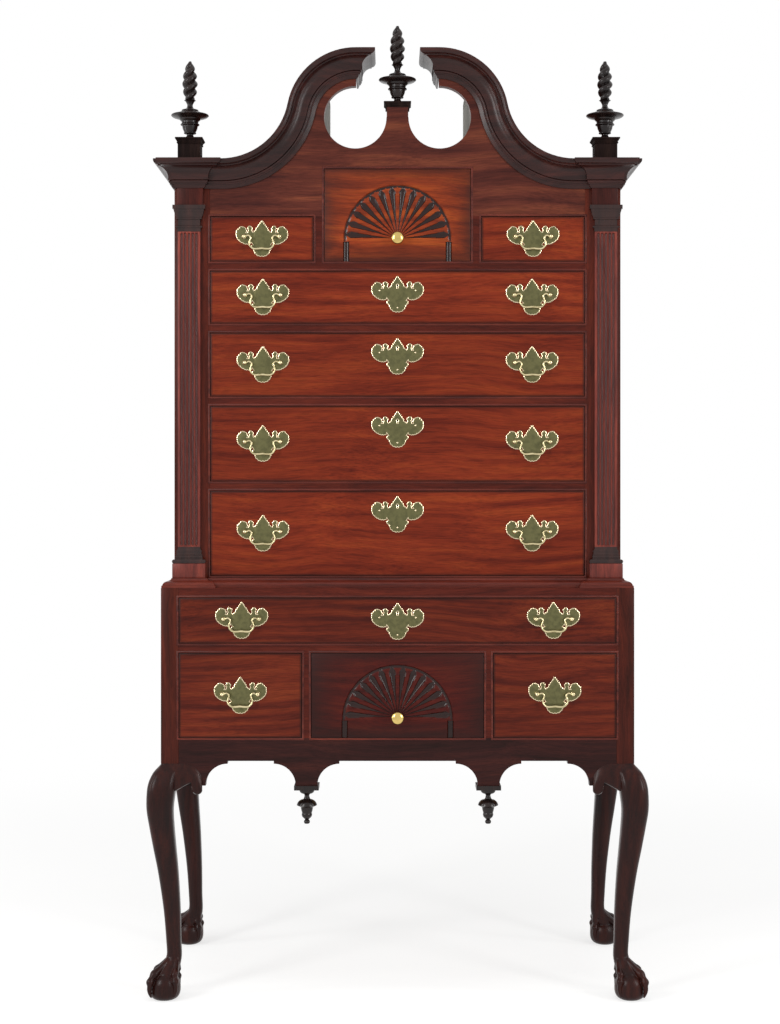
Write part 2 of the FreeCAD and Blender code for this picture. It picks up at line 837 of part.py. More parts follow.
def tympanum_node():
    """The board behind the scrolls: stepped over the drawers, with two round openings and a column."""
    opening = float(OPENING_HALF)
    fan = float(D.upper_divider_at - D.upper_divider / 2)
    small_high, fan_high = float(SMALL_HIGH), float(FAN_HIGH)
    edges = []

    def line(*points):
        for a, b in zip(points, points[1:]):
            edges.append([Vector(a[0], a[1], 0), Vector(b[0], b[1], 0)])

    line((-opening, small_high), (-fan, small_high), (-fan, fan_high), (fan, fan_high), (fan, small_high),
         (opening, small_high))
    start, meet, end, low_radius, high_radius = scroll_points(float(D.scroll_lap))
    for side in (-1, 1):
        line((side * opening, small_high), (side * opening, start.y), (-side * start.x, start.y))
        edges.extend(scroll_top_edges(float(D.scroll_lap), side))
    round_x = float(D.round_at)
    base = float(ROUND_Z)
    line((-float(D.scroll_end), end.y), (-float(D.scroll_end), base), (float(D.scroll_end), base),
         (float(D.scroll_end), end.y))
    face = front_face(edges, float(STILE_BACK))
    body = face.extrude(Vector(0, -float(D.stile_thick), 0))
    through = float(D.stile_thick) * 3
    before = float(UPPER_FRONT) - float(D.stile_thick)
    for side in (-1, 1):
        middle = Vector(side * round_x, before, base)
        body = body.cut(Part.makeCylinder(float(D.round_radius), through, middle, Vector(0, 1, 0)))
    half = float(D.column_width) / 2
    above = end.y - base + 1
    clear = Part.makeBox(float(D.scroll_end) - half, through, above, Vector(half, before, base))
    body = body.cut(clear).cut(clear.mirror(Vector(), Vector(1, 0, 0)))
    column = Part.makeBox(2 * half, float(D.stile_thick), float(COLUMN_TOP) - float(ROUND_Z),
                          Vector(-half, float(UPPER_FRONT), float(ROUND_Z)))
    body = body.fuse(column).removeSplitter()
    node("tympanum", [feature(body, "Tympanum")])


def scroll_moulding():
    """Left scroll: the cornice section carried along the straight start, the two arcs and the end."""
    frame = scroll_frame()
    front = float(UPPER_FRONT)
    start_x = -float(UPPER_HALF - D.cornice_break)
    profile = section(cornice_section(), Vector(start_x, front, float(CORNICE_TOP)), Vector(0, -1, 0),
                      Vector(0, 0, 1))
    start = Part.Face(profile).extrude(Vector(frame.low.x - start_x, 0, 0))
    face = Part.Face(profile)
    face.translate(Vector(frame.low.x - start_x, 0, 0))
    low_pivot = Vector(frame.low.x, front, frame.low.y)
    turn = math.degrees(math.atan2(frame.meet.x - frame.low.x, frame.low.y - frame.meet.y))
    low_arc = face.revolve(low_pivot, Vector(0, -1, 0), turn)
    face.rotate(low_pivot, Vector(0, -1, 0), turn)
    high_pivot = Vector(frame.high.x, front, frame.high.y)
    high_arc = face.revolve(high_pivot, Vector(0, 1, 0), turn)
    face.rotate(high_pivot, Vector(0, 1, 0), turn)
    end = face.extrude(Vector(float(CORNICE_REACH) + 1, 0, 0))
    return start.fuse([low_arc, high_arc, end]).removeSplitter()


def cornice_node():
    """Corner cornices with their side returns, and the two scrolls with returned inner ends."""
    front = float(UPPER_FRONT)
    inner = -float(D.scroll_end)
    top = scroll_points(0)[2].y
    end = Vector(inner, front, top)
    across, back = Vector(1, 0, 0), Vector(0, 1, 0)
    scroll = scroll_moulding().cut(beyond_mitre(end, across, back))
    spare = float(CORNICE_REACH) * 1.5
    profile = section(cornice_section(), Vector(inner, front - spare, top), across, Vector(0, 0, 1))
    end_return = Part.Face(profile).extrude(back * (spare + float(D.scroll_return)))
    end_return = end_return.cut(beyond_mitre(end, back * -1, across * -1))
    side = UPPER_HALF
    break_out = UPPER_FRONT - D.frieze_thick
    inner_side = D.cornice_break - side
    outer_side = D.frieze_inset - side
    path = [(inner_side, UPPER_FRONT), (inner_side, break_out), (outer_side, break_out),
            (outer_side, UPPER_FRONT), (-side, UPPER_FRONT), (-side, UPPER_BACK_OUT)]
    corner = mitred_run(cornice_section(), path, CORNICE_TOP)
    scroll = scroll.cut(corner)
    pieces = []
    for shape in (corner, scroll, end_return):
        for solid in shape.Solids:
            pieces.append(feature(solid, "Moulding"))
            pieces.append(feature(solid.mirror(Vector(), across), "Moulding"))
    node("cornice_and_scroll_mouldings", pieces)


def hood_edge(drop_in, end_x, y, thickness, depth):
    """A hood roof: a thin board bent along the left scroll and running from front to back."""
    upper = scroll_points(drop_in)
    lower = scroll_points(drop_in + thickness)
    frame = scroll_frame()

    def stop(radius):
        return Vector(end_x, frame.high.y + math.sqrt(radius ** 2 - (end_x - frame.high.x) ** 2), 0)

    up_end, low_end = stop(upper[4]), stop(lower[4])
    edges = [
        [upper[0], arc_middle(upper[0], upper[1], frame.low, upper[3]), upper[1]],
        [upper[1], arc_middle(upper[1], up_end, frame.high, upper[4]), up_end],
        [up_end, low_end],
        [low_end, arc_middle(low_end, lower[1], frame.high, lower[4]), lower[1]],
        [lower[1], arc_middle(lower[1], lower[0], frame.low, lower[3]), lower[0]],
        [lower[0], upper[0]]]
    return front_face(edges, y).extrude(Vector(0, depth, 0))


def backboard():
    """The back: one board with a shaped rise behind each half of the hood."""
    half = float(UPPER_HALF)
    y = float(UPPER_BACK_IN)
    hood_in = float(D.hood_at)
    start, meet, end, low_radius, high_radius = scroll_points(float(D.scroll_lap))
    frame = scroll_frame()
    stop_z = frame.high.y + math.sqrt(high_radius ** 2 - (hood_in + frame.high.x) ** 2)
    top = float(UPPER_TOP)
    low = float(LOWER_TOP)
    edges = [[Vector(-half, low, 0), Vector(half, low, 0)]]
    for side in (-1, 1):
        stop = Vector(-hood_in, stop_z, 0)

        def flip(p):
            return Vector(-side * p.x, p.y, 0)

        edges.append([Vector(side * half, low, 0), Vector(side * half, start.y, 0)])
        edges.append([Vector(side * half, start.y, 0), flip(start)])
        edges.append([flip(start), flip(arc_middle(start, meet, frame.low, low_radius)), flip(meet)])
        edges.append([flip(meet), flip(arc_middle(meet, stop, frame.high, high_radius)), flip(stop)])
        edges.append([flip(stop), flip(Vector(-hood_in, top, 0))])
    edges.append([Vector(-hood_in, top, 0), Vector(hood_in, top, 0)])
    return front_face(edges, y).extrude(Vector(0, float(D.back_board), 0))


def upper_panels_node():
    """Sides, bottom, top and back boards, the hood's upright boards and its bent roofs."""
    depth = (STILE_BACK, UPPER_BACK_IN)
    inside = (-UPPER_SIDE_IN, UPPER_SIDE_IN)
    pieces = both_sides((UPPER_SIDE_IN, UPPER_HALF), depth, (LOWER_TOP, UPPER_TOP + D.top_board), "Side")
    pieces.append(board(inside, depth, (LOWER_TOP, BOTTOM_RAIL), "Bottom"))
    pieces.append(board(inside, depth, (UPPER_TOP, UPPER_TOP + D.top_board), "Top"))
    pieces.append(feature(backboard(), "Back"))
    frame = scroll_frame()
    hood_out = float(D.hood_at + D.hood_board)
    roof_in, roof_thick = float(D.scroll_lap), float(D.roof_board)
    radius = frame.high_radius - roof_in - roof_thick
    hood_top = frame.high.y + math.sqrt(radius ** 2 - (hood_out + frame.high.x) ** 2) - 0.2
    for side in (-1, 1):
        low_x = float(D.hood_at) if side > 0 else -hood_out
        upright = Part.makeBox(float(D.hood_board), float(UPPER_BACK_IN) - float(STILE_BACK),
                               hood_top - float(UPPER_TOP + D.top_board),
                               Vector(low_x, float(STILE_BACK), float(UPPER_TOP + D.top_board)))
        pieces.append(feature(upright, "Hood_upright"))
    roof = hood_edge(roof_in, -float(D.hood_at), float(STILE_BACK), roof_thick,
                     float(UPPER_BACK_IN) - float(STILE_BACK))
    pieces.append(feature(roof, "Hood_roof"))
    pieces.append(feature(roof.mirror(Vector(), Vector(1, 0, 0)), "Hood_roof"))
    half = D.column_width / 2
    pieces.append(board((-half, half), (STILE_BACK, STILE_BACK + D.column_block),
                        (UPPER_TOP + D.top_board, COLUMN_TOP), "Column_block"))
    node("upper_case_panels", pieces)


def upper_rails_node():
    """Rails between the drawers, upright dividers, partitions, runners and guides."""
    pieces = []
    front = (UPPER_FRONT, UPPER_RAIL_BACK)
    across = (-OPENING_HALF, OPENING_HALF)
    rows = [(ROW_FOUR_HIGH, ROW_THREE_LOW), (ROW_THREE_HIGH, ROW_TWO_LOW),
            (ROW_TWO_HIGH, ROW_ONE_LOW), (ROW_ONE_HIGH, TOP_ROW_LOW)]
    pieces.append(board(across, (UPPER_FRONT, STILE_BACK), (LOWER_TOP, BOTTOM_RAIL), "Bottom_rail"))
    behind = (UPPER_RAIL_BACK, UPPER_BACK_IN)
    runner = (OPENING_HALF - D.runner_width, UPPER_SIDE_IN)
    guide = (OPENING_HALF, UPPER_SIDE_IN)
    low_guide = (BOTTOM_RAIL, BOTTOM_RAIL + D.guide_height)
    pieces += both_sides(guide, (STILE_BACK, UPPER_BACK_IN), low_guide, "Guide")
    for low, high in rows:
        pieces.append(board(across, front, (low, high), "Rail"))
        pieces += both_sides(runner, behind, (low, high), "Runner")
        pieces += both_sides(guide, behind, (high, high + D.guide_height), "Guide")
    half = D.upper_divider / 2
    inner = (D.upper_divider_at - half, D.upper_divider_at + half)
    pieces += both_sides(inner, (UPPER_FRONT, STILE_BACK), (TOP_ROW_LOW, SMALL_HIGH), "Divider")
    pieces += both_sides(inner, (STILE_BACK, UPPER_BACK_IN), (TOP_ROW_LOW, UPPER_TOP), "Partition")
    wide = (D.upper_divider_at - D.runner_width, D.upper_divider_at + D.runner_width)
    pieces += both_sides(wide, behind, (ROW_ONE_HIGH, TOP_ROW_LOW), "Runner")
    node("upper_rails_and_runners", pieces)


def fluted_shaft(x):
    """A flat shaft with flutes cut side by side."""
    body = new_body("Shaft")
    half = D.shaft_width / 2
    lift = -UPPER_FRONT
    pad_on(body, "front", lift, [(x - half, BASE_HIGH), (x + half, BASE_HIGH), (x + half, CAPITAL_LOW),
                                 (x - half, CAPITAL_LOW)], D.shaft_thick)
    r = D.flute_radius
    low, high = BASE_HIGH + D.flute_margin, CAPITAL_LOW - D.flute_margin
    count = int(SIZES["flute_count"])
    for index in range(count):
        middle = x + D.flute_pitch * (index - (count - 1) / 2)
        sketch = new_sketch(body, "front", lift + D.shaft_thick - r, "Flute")
        draw(sketch, [(middle - r, low), (middle + r, low), (middle + r, high), (middle - r, high)])
        pocket = body.newObject("PartDesign::Pocket", "Flute_cut")
        pocket.Profile = sketch
        pocket.Reversed = True
        bind(pocket, "Length", r * 2)
    return body


BASE_PATTERN = [
    # (reach beyond the shaft, height): torus, fillet, bead, cove, fillet and the sweep into the shaft
    (9.2, 0, 4.7), (9.2, 9), (5.5, 9), (5.5, 12), (3.2, 12, 3.6), (3.2, 18.6), (4.5, 19.6),
    (4.5, 20.6, -3.4), (3.5, 26.4), (3.5, 29), (2.6, 29, -10), (0, 38)]

CAPITAL_PATTERN = [
    # (reach beyond the shaft, height): astragal, neck, fillet, ovolo, step and abacus
    (1, 0), (1, 3), (0.8, 3, 3.4), (0.8, 9), (0.4, 9), (1.2, 26), (2.6, 26), (2.6, 29.5), (1.8, 29.5, 18),
    (7, 45), (8.5, 45), (8.5, 51), (11.5, 51), (11.5, 60)]


def moulded_block(x, low, members, name):
    """A moulded member round a pilaster's front and sides: its two sawn outlines in common."""
    half = D.shaft_width / 2
    high = low + members[-1][1]
    side_reach = (D.plinth_width - D.shaft_width) / 2
    share = (D.plinth_thick - D.shaft_thick) / side_reach
    across = mirror_outline([(half + reach, low + up, *bulge) for reach, up, *bulge in members])
    depth = [(D.shaft_thick + reach * share, low + up, *bulge) for reach, up, *bulge in members]
    face = [(UPPER_FRONT + spot[0], *spot[1:]) for spot in mirror_outline(depth)[len(depth):]]
    front = sawn(name + "_front", "front", -UPPER_FRONT, across, D.plinth_width)
    side = sawn(name + "_side", "side", -D.plinth_width, [(UPPER_FRONT, low), (UPPER_FRONT, high)] + face,
                D.plinth_width * 2)
    common = doc.addObject("Part::MultiCommon", name)
    common.Shapes = [place(front, x), place(side, x)]
    return common


def pilasters_node():
    """On each corner: stile, plinth, moulded base, fluted shaft, moulded capital and frieze block."""
    stile = (UPPER_FRONT, STILE_BACK)
    pieces = both_sides((OPENING_HALF, UPPER_HALF), stile, (LOWER_TOP, CORNICE_TOP), "Stile")
    inner, outer = PILASTER_AT - D.plinth_width / 2, PILASTER_AT + D.plinth_width / 2
    plinth = (UPPER_FRONT - D.plinth_thick, UPPER_FRONT)
    pieces += both_sides((inner, outer), plinth, (WAIST_TOP, PLINTH_HIGH), "Plinth")
    pieces += both_sides((inner, UPPER_HALF), plinth, (LOWER_TOP, WAIST_TOP), "Plinth_core")
    frieze = (UPPER_FRONT - D.frieze_thick, UPPER_FRONT)
    broken = (UPPER_HALF - D.cornice_break, UPPER_HALF - D.frieze_inset)
    pieces += both_sides(broken, frieze, (CAPITAL_HIGH, CORNICE_TOP), "Frieze")
    for side in (-1, 1):
        x = PILASTER_AT * side
        pieces.append(moulded_block(x, PLINTH_HIGH, scaled(BASE_PATTERN, D.base_height / 38), "Base"))
        pieces.append(fluted_shaft(x))
        capital = scaled(CAPITAL_PATTERN, D.capital_height / 60)
        pieces.append(moulded_block(x, CAPITAL_LOW, capital, "Capital"))
    node("pilasters", pieces)


def bud(unit):
    """A pointed bud with two rounded strands wound around it, on the origin."""
    height = unit * 84
    steps = 22
    wires = []
    for step in range(steps + 1):
        share = step / steps
        fat = unit * max(17 * math.sin(math.pi * (0.10 + share * 0.86)) ** 0.62, 1.2)
        turn = 360.0 * float(D.bud_turns) * share
        ellipse = Part.Ellipse(Vector(0, 0, 0), fat, fat * 0.68)
        wire = Part.Wire([ellipse.toShape()])
        wire.rotate(Vector(), Vector(0, 0, 1), turn)
        wire.translate(Vector(0, 0, height * share))
        wires.append(wire)
    return Part.makeLoft(wires, True, False)


URN_PATTERN = [
    (0, 0), (13, 0), (13, 3, -7), (6, 9), (12, 10, 3), (12, 14), (16, 20, 5), (18, 26), (16, 29),
    (17, 36), (38.5, 45, 3), (41.5, 48, 3), (37.5, 51, -30), (17.5, 62), (17.5, 65, -14),
    (5.5, 77, -6), (12, 85), (12, 87), (0, 87)]


def finial(x, y, z):
    """Turned urn and saucer carrying the wound bud."""
    unit = D.finial_height / 170
    urn = place(turned("Urn", scaled(URN_PATTERN, unit)), x, y, z)
    tip = feature_at(bud(float(unit)), x, y, float(z) + float(unit) * 86.99, "Bud")
    return union(urn, tip)


def finials_node():
    """Three finials on their plinths: two over the pilasters, one on the column between the scrolls."""
    pieces = []
    cap = D.plinth_cap / 2
    cap_height = D.plinth_cap_height
    centre_y = UPPER_FRONT + D.column_block
    middle_high = (COLUMN_TOP, COLUMN_TOP + cap_height)
    pieces.append(board((-cap, cap), (centre_y - cap, centre_y + cap), middle_high, "Cap"))
    pieces.append(finial(as_size(0), centre_y, COLUMN_TOP + cap_height))
    block = D.side_plinth_block / 2
    side_y = UPPER_FRONT - D.frieze_thick + block
    block_top = CORNICE_TOP + D.side_plinth_height
    for side in (-1, 1):
        x = PILASTER_AT * side
        deep = (side_y - block, side_y + block)
        pieces.append(board((x - block, x + block), deep, (CORNICE_TOP, block_top), "Block"))
        high = (block_top, block_top + cap_height)
        pieces.append(board((x - cap, x + cap), (side_y - cap, side_y + cap), high, "Cap"))
        pieces.append(finial(x, side_y, block_top + cap_height))
    node("finials", pieces)


# ---------------------------------------------------------------- drawers

def drawer_table():
    """Every drawer: name, opening in x and z, front plane, back plane, and its furniture."""
    lower_front, lower_back = LOWER_FRONT, BACK_IN
    upper_front, upper_back = UPPER_FRONT, UPPER_BACK_IN
    inner_up = D.upper_divider_at - D.upper_divider / 2
    outer_up = D.upper_divider_at + D.upper_divider / 2
    inner_low = D.lower_divider_at - D.divider / 2
    outer_low = D.lower_divider_at + D.divider / 2
    wide = OPENING_HALF
    long_x = (-wide, wide)
    rows = [
        ("top_left", (-wide, -outer_up), (TOP_ROW_LOW, SMALL_HIGH), upper_front, upper_back, "one"),
        ("upper_fan", (-inner_up, inner_up), (TOP_ROW_LOW, FAN_HIGH), upper_front, upper_back, "fan"),
        ("top_right", (outer_up, wide), (TOP_ROW_LOW, SMALL_HIGH), upper_front, upper_back, "one"),
        ("first_long", long_x, (ROW_ONE_LOW, ROW_ONE_HIGH), upper_front, upper_back, "pair"),
        ("second_long", long_x, (ROW_TWO_LOW, ROW_TWO_HIGH), upper_front, upper_back, "pair"),
        ("third_long", long_x, (ROW_THREE_LOW, ROW_THREE_HIGH), upper_front, upper_back, "pair"),
        ("fourth_long", long_x, (BOTTOM_RAIL, ROW_FOUR_HIGH), upper_front, upper_back, "pair"),
        ("base_long", (-POST_IN, POST_IN), (BASE_LONG_LOW, BASE_LONG_HIGH), lower_front, lower_back, "pair"),
        ("base_left", (-POST_IN, -outer_low), (D.skirt_top, BASE_ROW_HIGH), lower_front, lower_back, "one"),
        ("lower_fan", (-inner_low, inner_low), (D.skirt_top, BASE_ROW_HIGH), lower_front, lower_back, "fan"),
        ("base_right", (outer_low, POST_IN), (D.skirt_top, BASE_ROW_HIGH), lower_front, lower_back, "one"),
    ]
    names = ("name", "x", "z", "front", "back", "kind")
    return [SimpleNamespace(**dict(zip(names, row))) for row in rows]


def drawer_span(drawer):
    """The front board's box inside its opening."""
    x0, x1 = drawer.x[0] + D.drawer_gap, drawer.x[1] - D.drawer_gap
    z0, z1 = drawer.z[0] + D.drawer_lift, drawer.z[1] - D.drawer_gap
    return x0, x1, z0, z1


def fan_layout(drawer):
    """Height of the point where a fan's rays meet, its radius and the directions of its hollows."""
    upper_hollows, lower_hollows = 12, 14
    if drawer.name == "upper_fan":
        angles = [math.pi * (index + 0.5) / upper_hollows for index in range(upper_hollows)]
        return drawer.z[0] + D.upper_fan_rise, D.upper_fan_radius, angles
    angles = [math.pi * index / (lower_hollows - 1) for index in range(lower_hollows)]
    return drawer.z[0] + D.lower_fan_rise, D.lower_fan_radius, angles


def hollow(base, tip, narrow, wide):
    """A gouge cut: it widens from base to tip and ends in a round."""
    way = tip - base
    tall = way.Length
    bend = math.pi / 4
    foot, low = Vector(), Vector(narrow, 0, 0)
    high, end = Vector(wide, 0, tall), Vector(0, 0, tall + wide)
    middle = Vector(wide * math.sin(bend), 0, tall + wide * math.cos(bend))
    round_end = Part.Arc(high, middle, end).toShape()
    half = Part.Wire([Part.makeLine(foot, low), Part.makeLine(low, high), round_end, Part.makeLine(end, foot)])
    shape = Part.Face(half).revolve(Vector(), Vector(0, 0, 1), 360)
    along = way.normalize()
    out = Vector(0, -1, 0)
    out = (out - along * out.dot(along)).normalize()
    shape.Placement = Placement(base, Rotation(out, along.cross(out), along, "ZXY"))
    return shape


def fan_front(drawer):
    """A front board with a carved fan: an arched sinking with a strip down from each end of its rim,
    and round-ended hollows that widen from the knob."""
    x0, x1, z0, z1 = drawer_span(drawer)
    y = drawer.front
    blank = board((x0, x1), (y, y + D.front_thick), (z0, z1), "Front")
    centre_z, radius, angles = fan_layout(drawer)
    inner, low = radius - D.fan_strip, z0 - 1
    arch = [(radius, centre_z, radius), (as_size(0), centre_z + radius, radius), (-radius, centre_z),
            (-radius, low), (-inner, low), (-inner, centre_z),
            (inner, centre_z), (inner, low), (radius, low)]
    sinking = sawn("Sinking", "front", -(y + D.fan_sinking), arch, D.fan_sinking + 1)
    narrow, wide = float(D.hollow_half) / 4, float(D.hollow_half)
    near, far = float(D.knob_radius) * 1.15, float(radius - D.fan_edge - D.hollow_half)
    floor = Vector(0, float(y + D.fan_sinking), float(centre_z))
    proud = Vector(0, -0.3, 0)
    cuts = []
    for angle in angles:
        way = Vector(math.cos(angle), 0, math.sin(angle))
        base, tip = floor + way * near + proud * narrow, floor + way * far + proud * wide
        cuts.append(hollow(base, tip, narrow, wide))
    return difference(difference(blank, sinking), feature(cuts[0].multiFuse(cuts[1:]), "Hollows"))


def plain_front(drawer, locked):
    """A straight front, bored for the brasses' posts and for the key."""
    x0, x1, z0, z1 = drawer_span(drawer)
    y = drawer.front
    blank = board((x0, x1), (y, y + D.front_thick), (z0, z1), "Front")
    tools = []
    for x, z in handle_places(drawer):
        for side in (-1, 1):
            tools.append(rod(D.post_stem / 2, D.front_thick + 2, x + D.post_spread / 2 * side,
                             y + D.front_thick + 1, z, name="Post_hole"))
    if locked:
        x, z = lock_place(drawer)
        tools.append(rod(D.keyhole, D.front_thick + 2, x, y + D.front_thick + 1, z, name="Key_hole"))
    return difference(blank, *tools)


def handle_places(drawer):
    """Centres between the posts of each bail on a drawer."""
    if drawer.kind == "fan":
        return []
    z = (drawer.z[0] + drawer.z[1]) / 2 + D.handle_lift
    if drawer.kind == "one":
        return [((drawer.x[0] + drawer.x[1]) / 2, z)]
    spread = D.base_handle_at if drawer.name == "base_long" else OPENING_HALF - D.handle_from_stile
    return [(-spread, z), (spread, z)]


def lock_place(drawer):
    """The keyhole's centre, under the escutcheon's peak."""
    return as_size(0), drawer.z[1] - D.key_from_top


def drawer_box_node(drawer):
    """Sides, back and bottom; the sides and bottom meet the front board's inner face."""
    x0, x1, z0, z1 = drawer_span(drawer)
    start = drawer.front + D.front_thick
    end = drawer.back - D.drawer_back_gap
    low_top = z1 - (D.fan_lining_drop if drawer.name == "upper_fan" else D.lining_drop)
    sides = [board((x0, x0 + D.lining), (start, end), (z0, low_top), "Side"),
             board((x1 - D.lining, x1), (start, end), (z0, low_top), "Side")]
    back = board((x0 + D.lining, x1 - D.lining), (end - D.lining, end), (z0, low_top), "Back")
    low = (z0, z0 + D.drawer_bottom)
    bottom = board((x0 + D.lining, x1 - D.lining), (start, end - D.lining), low, "Bottom")
    node(drawer.name + "_drawer_box", sides + [back, bottom])


PLATE_HALF_OUTLINE = [
    (0, -42.7), (11, -35), (23.7, -22.5), (17, -17), (22, -10.9), (28.8, -16), (48.6, -10), (58.3, 2.5),
    (56.8, 15.8), (46, 23.6), (37, 21.9), (32.7, 10.7), (30, 18.5), (26.3, 25.3), (19.6, 20.5), (18, 10.7),
    (14.6, 15.5), (0, 37.4)]


def plate_corners(x, z):
    """The bat-wing outline round a centre, worked out from its right half."""
    scale = D.plate_half / 58.5
    right = [(scale * px, scale * pz) for px, pz in PLATE_HALF_OUTLINE]
    left = [(-px, pz) for px, pz in reversed(right[1:-1])]
    return [(x + px, z + pz) for px, pz in right + left]


def handle_brasses(drawer, x, z):
    """One plate with its two posts: stem through the front, bored head outside, nut inside."""
    y = drawer.front
    plate = sawn("Plate", "front", -y, plate_corners(x, z), D.plate_thick)
    pieces = []
    holes = []
    for side in (-1, 1):
        px = x + D.post_spread / 2 * side
        start = y + D.front_thick + D.nut_thick
        stem = rod(D.post_stem / 2, D.front_thick + D.nut_thick + D.post_reach, px, start, z, name="Stem")
        head = doc.addObject("Part::Sphere", "Head")
        bind(head, "Radius", D.post_head)
        place(head, px, y - D.post_reach, z)
        bore = rod(D.pin_radius + D.pin_fit, D.post_head * 4, px - D.post_head * 2, y - D.post_reach, z,
                   axis=(0, 1, 0), angle=90, name="Bore")
        pieces.append(difference(union(stem, head), bore))
        nut = board((px - D.nut_across / 2, px + D.nut_across / 2),
                    (y + D.front_thick, y + D.front_thick + D.nut_thick),
                    (z - D.nut_across / 2, z + D.nut_across / 2), "Nut")
        nut_hole = rod(D.post_stem / 2, D.nut_thick + 2, px, start + 1, z, name="Nut_hole")
        pieces.append(difference(nut, nut_hole))
        holes.append(rod(D.post_stem / 2, D.plate_thick + 2, px, y + 1, z, name="Plate_hole"))
    pieces.append(difference(plate, *holes))
    return pieces


def escutcheon_and_lock(drawer):
    """A keyhole plate of the same outline, and the iron lock behind the front."""
    y = drawer.front
    x, z = lock_place(drawer)
    plate = sawn("Escutcheon", "front", -y, plate_corners(x, z - D.key_over_plate), D.plate_thick)
    hole = rod(D.keyhole, D.plate_thick + 2, x, y + 1, z, name="Key_hole")
    half = D.lock_width / 2
    start = y + D.front_thick
    top = drawer_span(drawer)[3] - D.drawer_gap
    case = board((x - half, x + half), (start, start + D.lock_thick), (top - D.lock_height, top), "Lock")
    pin = rod(D.keyhole / 2, D.front_thick, x, start, z, name="Key_pin")
    return [difference(plate, hole), union(case, pin)]


def brasses_node(drawer, locked):
    pieces = []
    for x, z in handle_places(drawer):
        pieces += handle_brasses(drawer, x, z)
    if locked:
        pieces += escutcheon_and_lock(drawer)
    node(drawer.name + "_drawer_brasses", pieces)


KNOB_PATTERN = [
    (0, 0), (9, 0), (9, 2, -4), (5.5, 7), (6.5, 10), (14.5, 15, 9), (8, 23), (0, 24)]


def knob_node(drawer):
    """A round brass knob on a shank at the root of the fan."""
    body = turned("Knob", scaled(KNOB_PATTERN, D.knob_radius / 14.5))
    body.Placement = Placement(Vector(), Rotation(Vector(1, 0, 0), 90))
    place(body, 0, drawer.front, fan_layout(drawer)[0])
    node(drawer.name + "_drawer_knob", [body])


def bail(x, y, z):
    """A swinging bail: two inward pins in the posts' bores, arms and a curved grip, hung at rest."""
    wire = float(D.bail_wire)
    px, pz = float(x), float(z)
    py = float(y - D.post_reach)
    spread = float(D.post_spread) / 2
    inner = spread - float(D.post_head) - 0.5
    grip = float(D.bail_half)
    drop_z = float(D.bail_drop)
    pieces = []
    path = []
    pin_out = spread + float(D.post_head) - 0.6
    half_path = [Vector(inner - wire, 0, 0), Vector(grip - 2.5, 0, -3.5), Vector(grip, 0, -drop_z * 0.55),
                 Vector(grip - 4.5, 0, -drop_z * 0.86), Vector(grip - 11, 0, -drop_z)]
    points = [Vector(px - p.x, py, pz + p.z) for p in half_path]
    points += [Vector(px + p.x, py, pz + p.z) for p in reversed(half_path)]
    for a, b in zip(points, points[1:]):
        pieces.append(Part.makeCylinder(wire, (b - a).Length, a, b - a))
    for p in points:
        pieces.append(Part.makeSphere(wire, p))
    for side in (-1, 1):
        start = Vector(px + side * (inner - wire), py, pz)
        length = pin_out - inner + wire
        pieces.append(Part.makeCylinder(float(D.pin_radius), length, start, Vector(side, 0, 0)))
    return pieces[0].multiFuse(pieces[1:])


def bails_nodes(drawer):
    places = handle_places(drawer)
    words = ["bail"] if len(places) == 1 else ["left_bail", "right_bail"]
    for word, (x, z) in zip(words, places):
        node(drawer.name + "_" + word, [feature(bail(x, drawer.front, z), "Bail")])


def drawers():
    for drawer in drawer_table():
        locked = drawer.kind == "pair"
        front = fan_front(drawer) if drawer.kind == "fan" else plain_front(drawer, locked)
        node(drawer.name + "_drawer_front", [front])
        drawer_box_node(drawer)
        if drawer.kind == "fan":
            knob_node(drawer)
        else:
            brasses_node(drawer, locked)
            bails_nodes(drawer)


# ---------------------------------------------------------------- assembly

def check_and_write():
    """Every object has to be sound before any file is written."""
    doc.recompute()
    faults = [obj.Name + " " + obj.Label for obj in doc.Objects if {"Invalid", "Error"} & set(obj.State)]
    for obj in NODES:
        shape = obj.Shape
        if shape.isNull() or not shape.isValid() or not shape.Solids:
            faults.append("shape of " + obj.Label)
    if faults:
        raise RuntimeError("faults: " + ", ".join(faults))
    os.makedirs("parts", exist_ok=True)
    for obj in NODES:
        obj.Shape.exportStep("parts/%s.step" % obj.Label)
    print("wrote", len(NODES), "parts")


def main():
    legs_node()
    knee_blocks_node()
    node("skirt", [sawn("Skirt", "front", -(LOWER_FRONT + D.skirt_board), skirt_outline(), D.skirt_board)])
    drops_node()
    lower_panels_node()
    lower_rails_node()
    waist_node()
    upper_panels_node()
    upper_rails_node()
    pilasters_node()
    tympanum_node()
    cornice_node()
    finials_node()
    drawers()
    check_and_write()


main()
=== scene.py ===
# %% [markdown]
# # A scroll-top high chest of drawers
#
# A high chest is two cases, one on the other: a low one on bowed legs, and a tall one with drawers,
# crowned by two scrolls.  The frame holds each of its pieces at its real size.  This lesson gives them
# their finish, and models again the pieces that a carver, a turner and a brass founder would make.
# Everything is in metres, so `MM` turns a maker's millimetres into the scene's own unit.

# %% Load the frame
import math

import bmesh
import bpy
from mathutils import Matrix, Vector


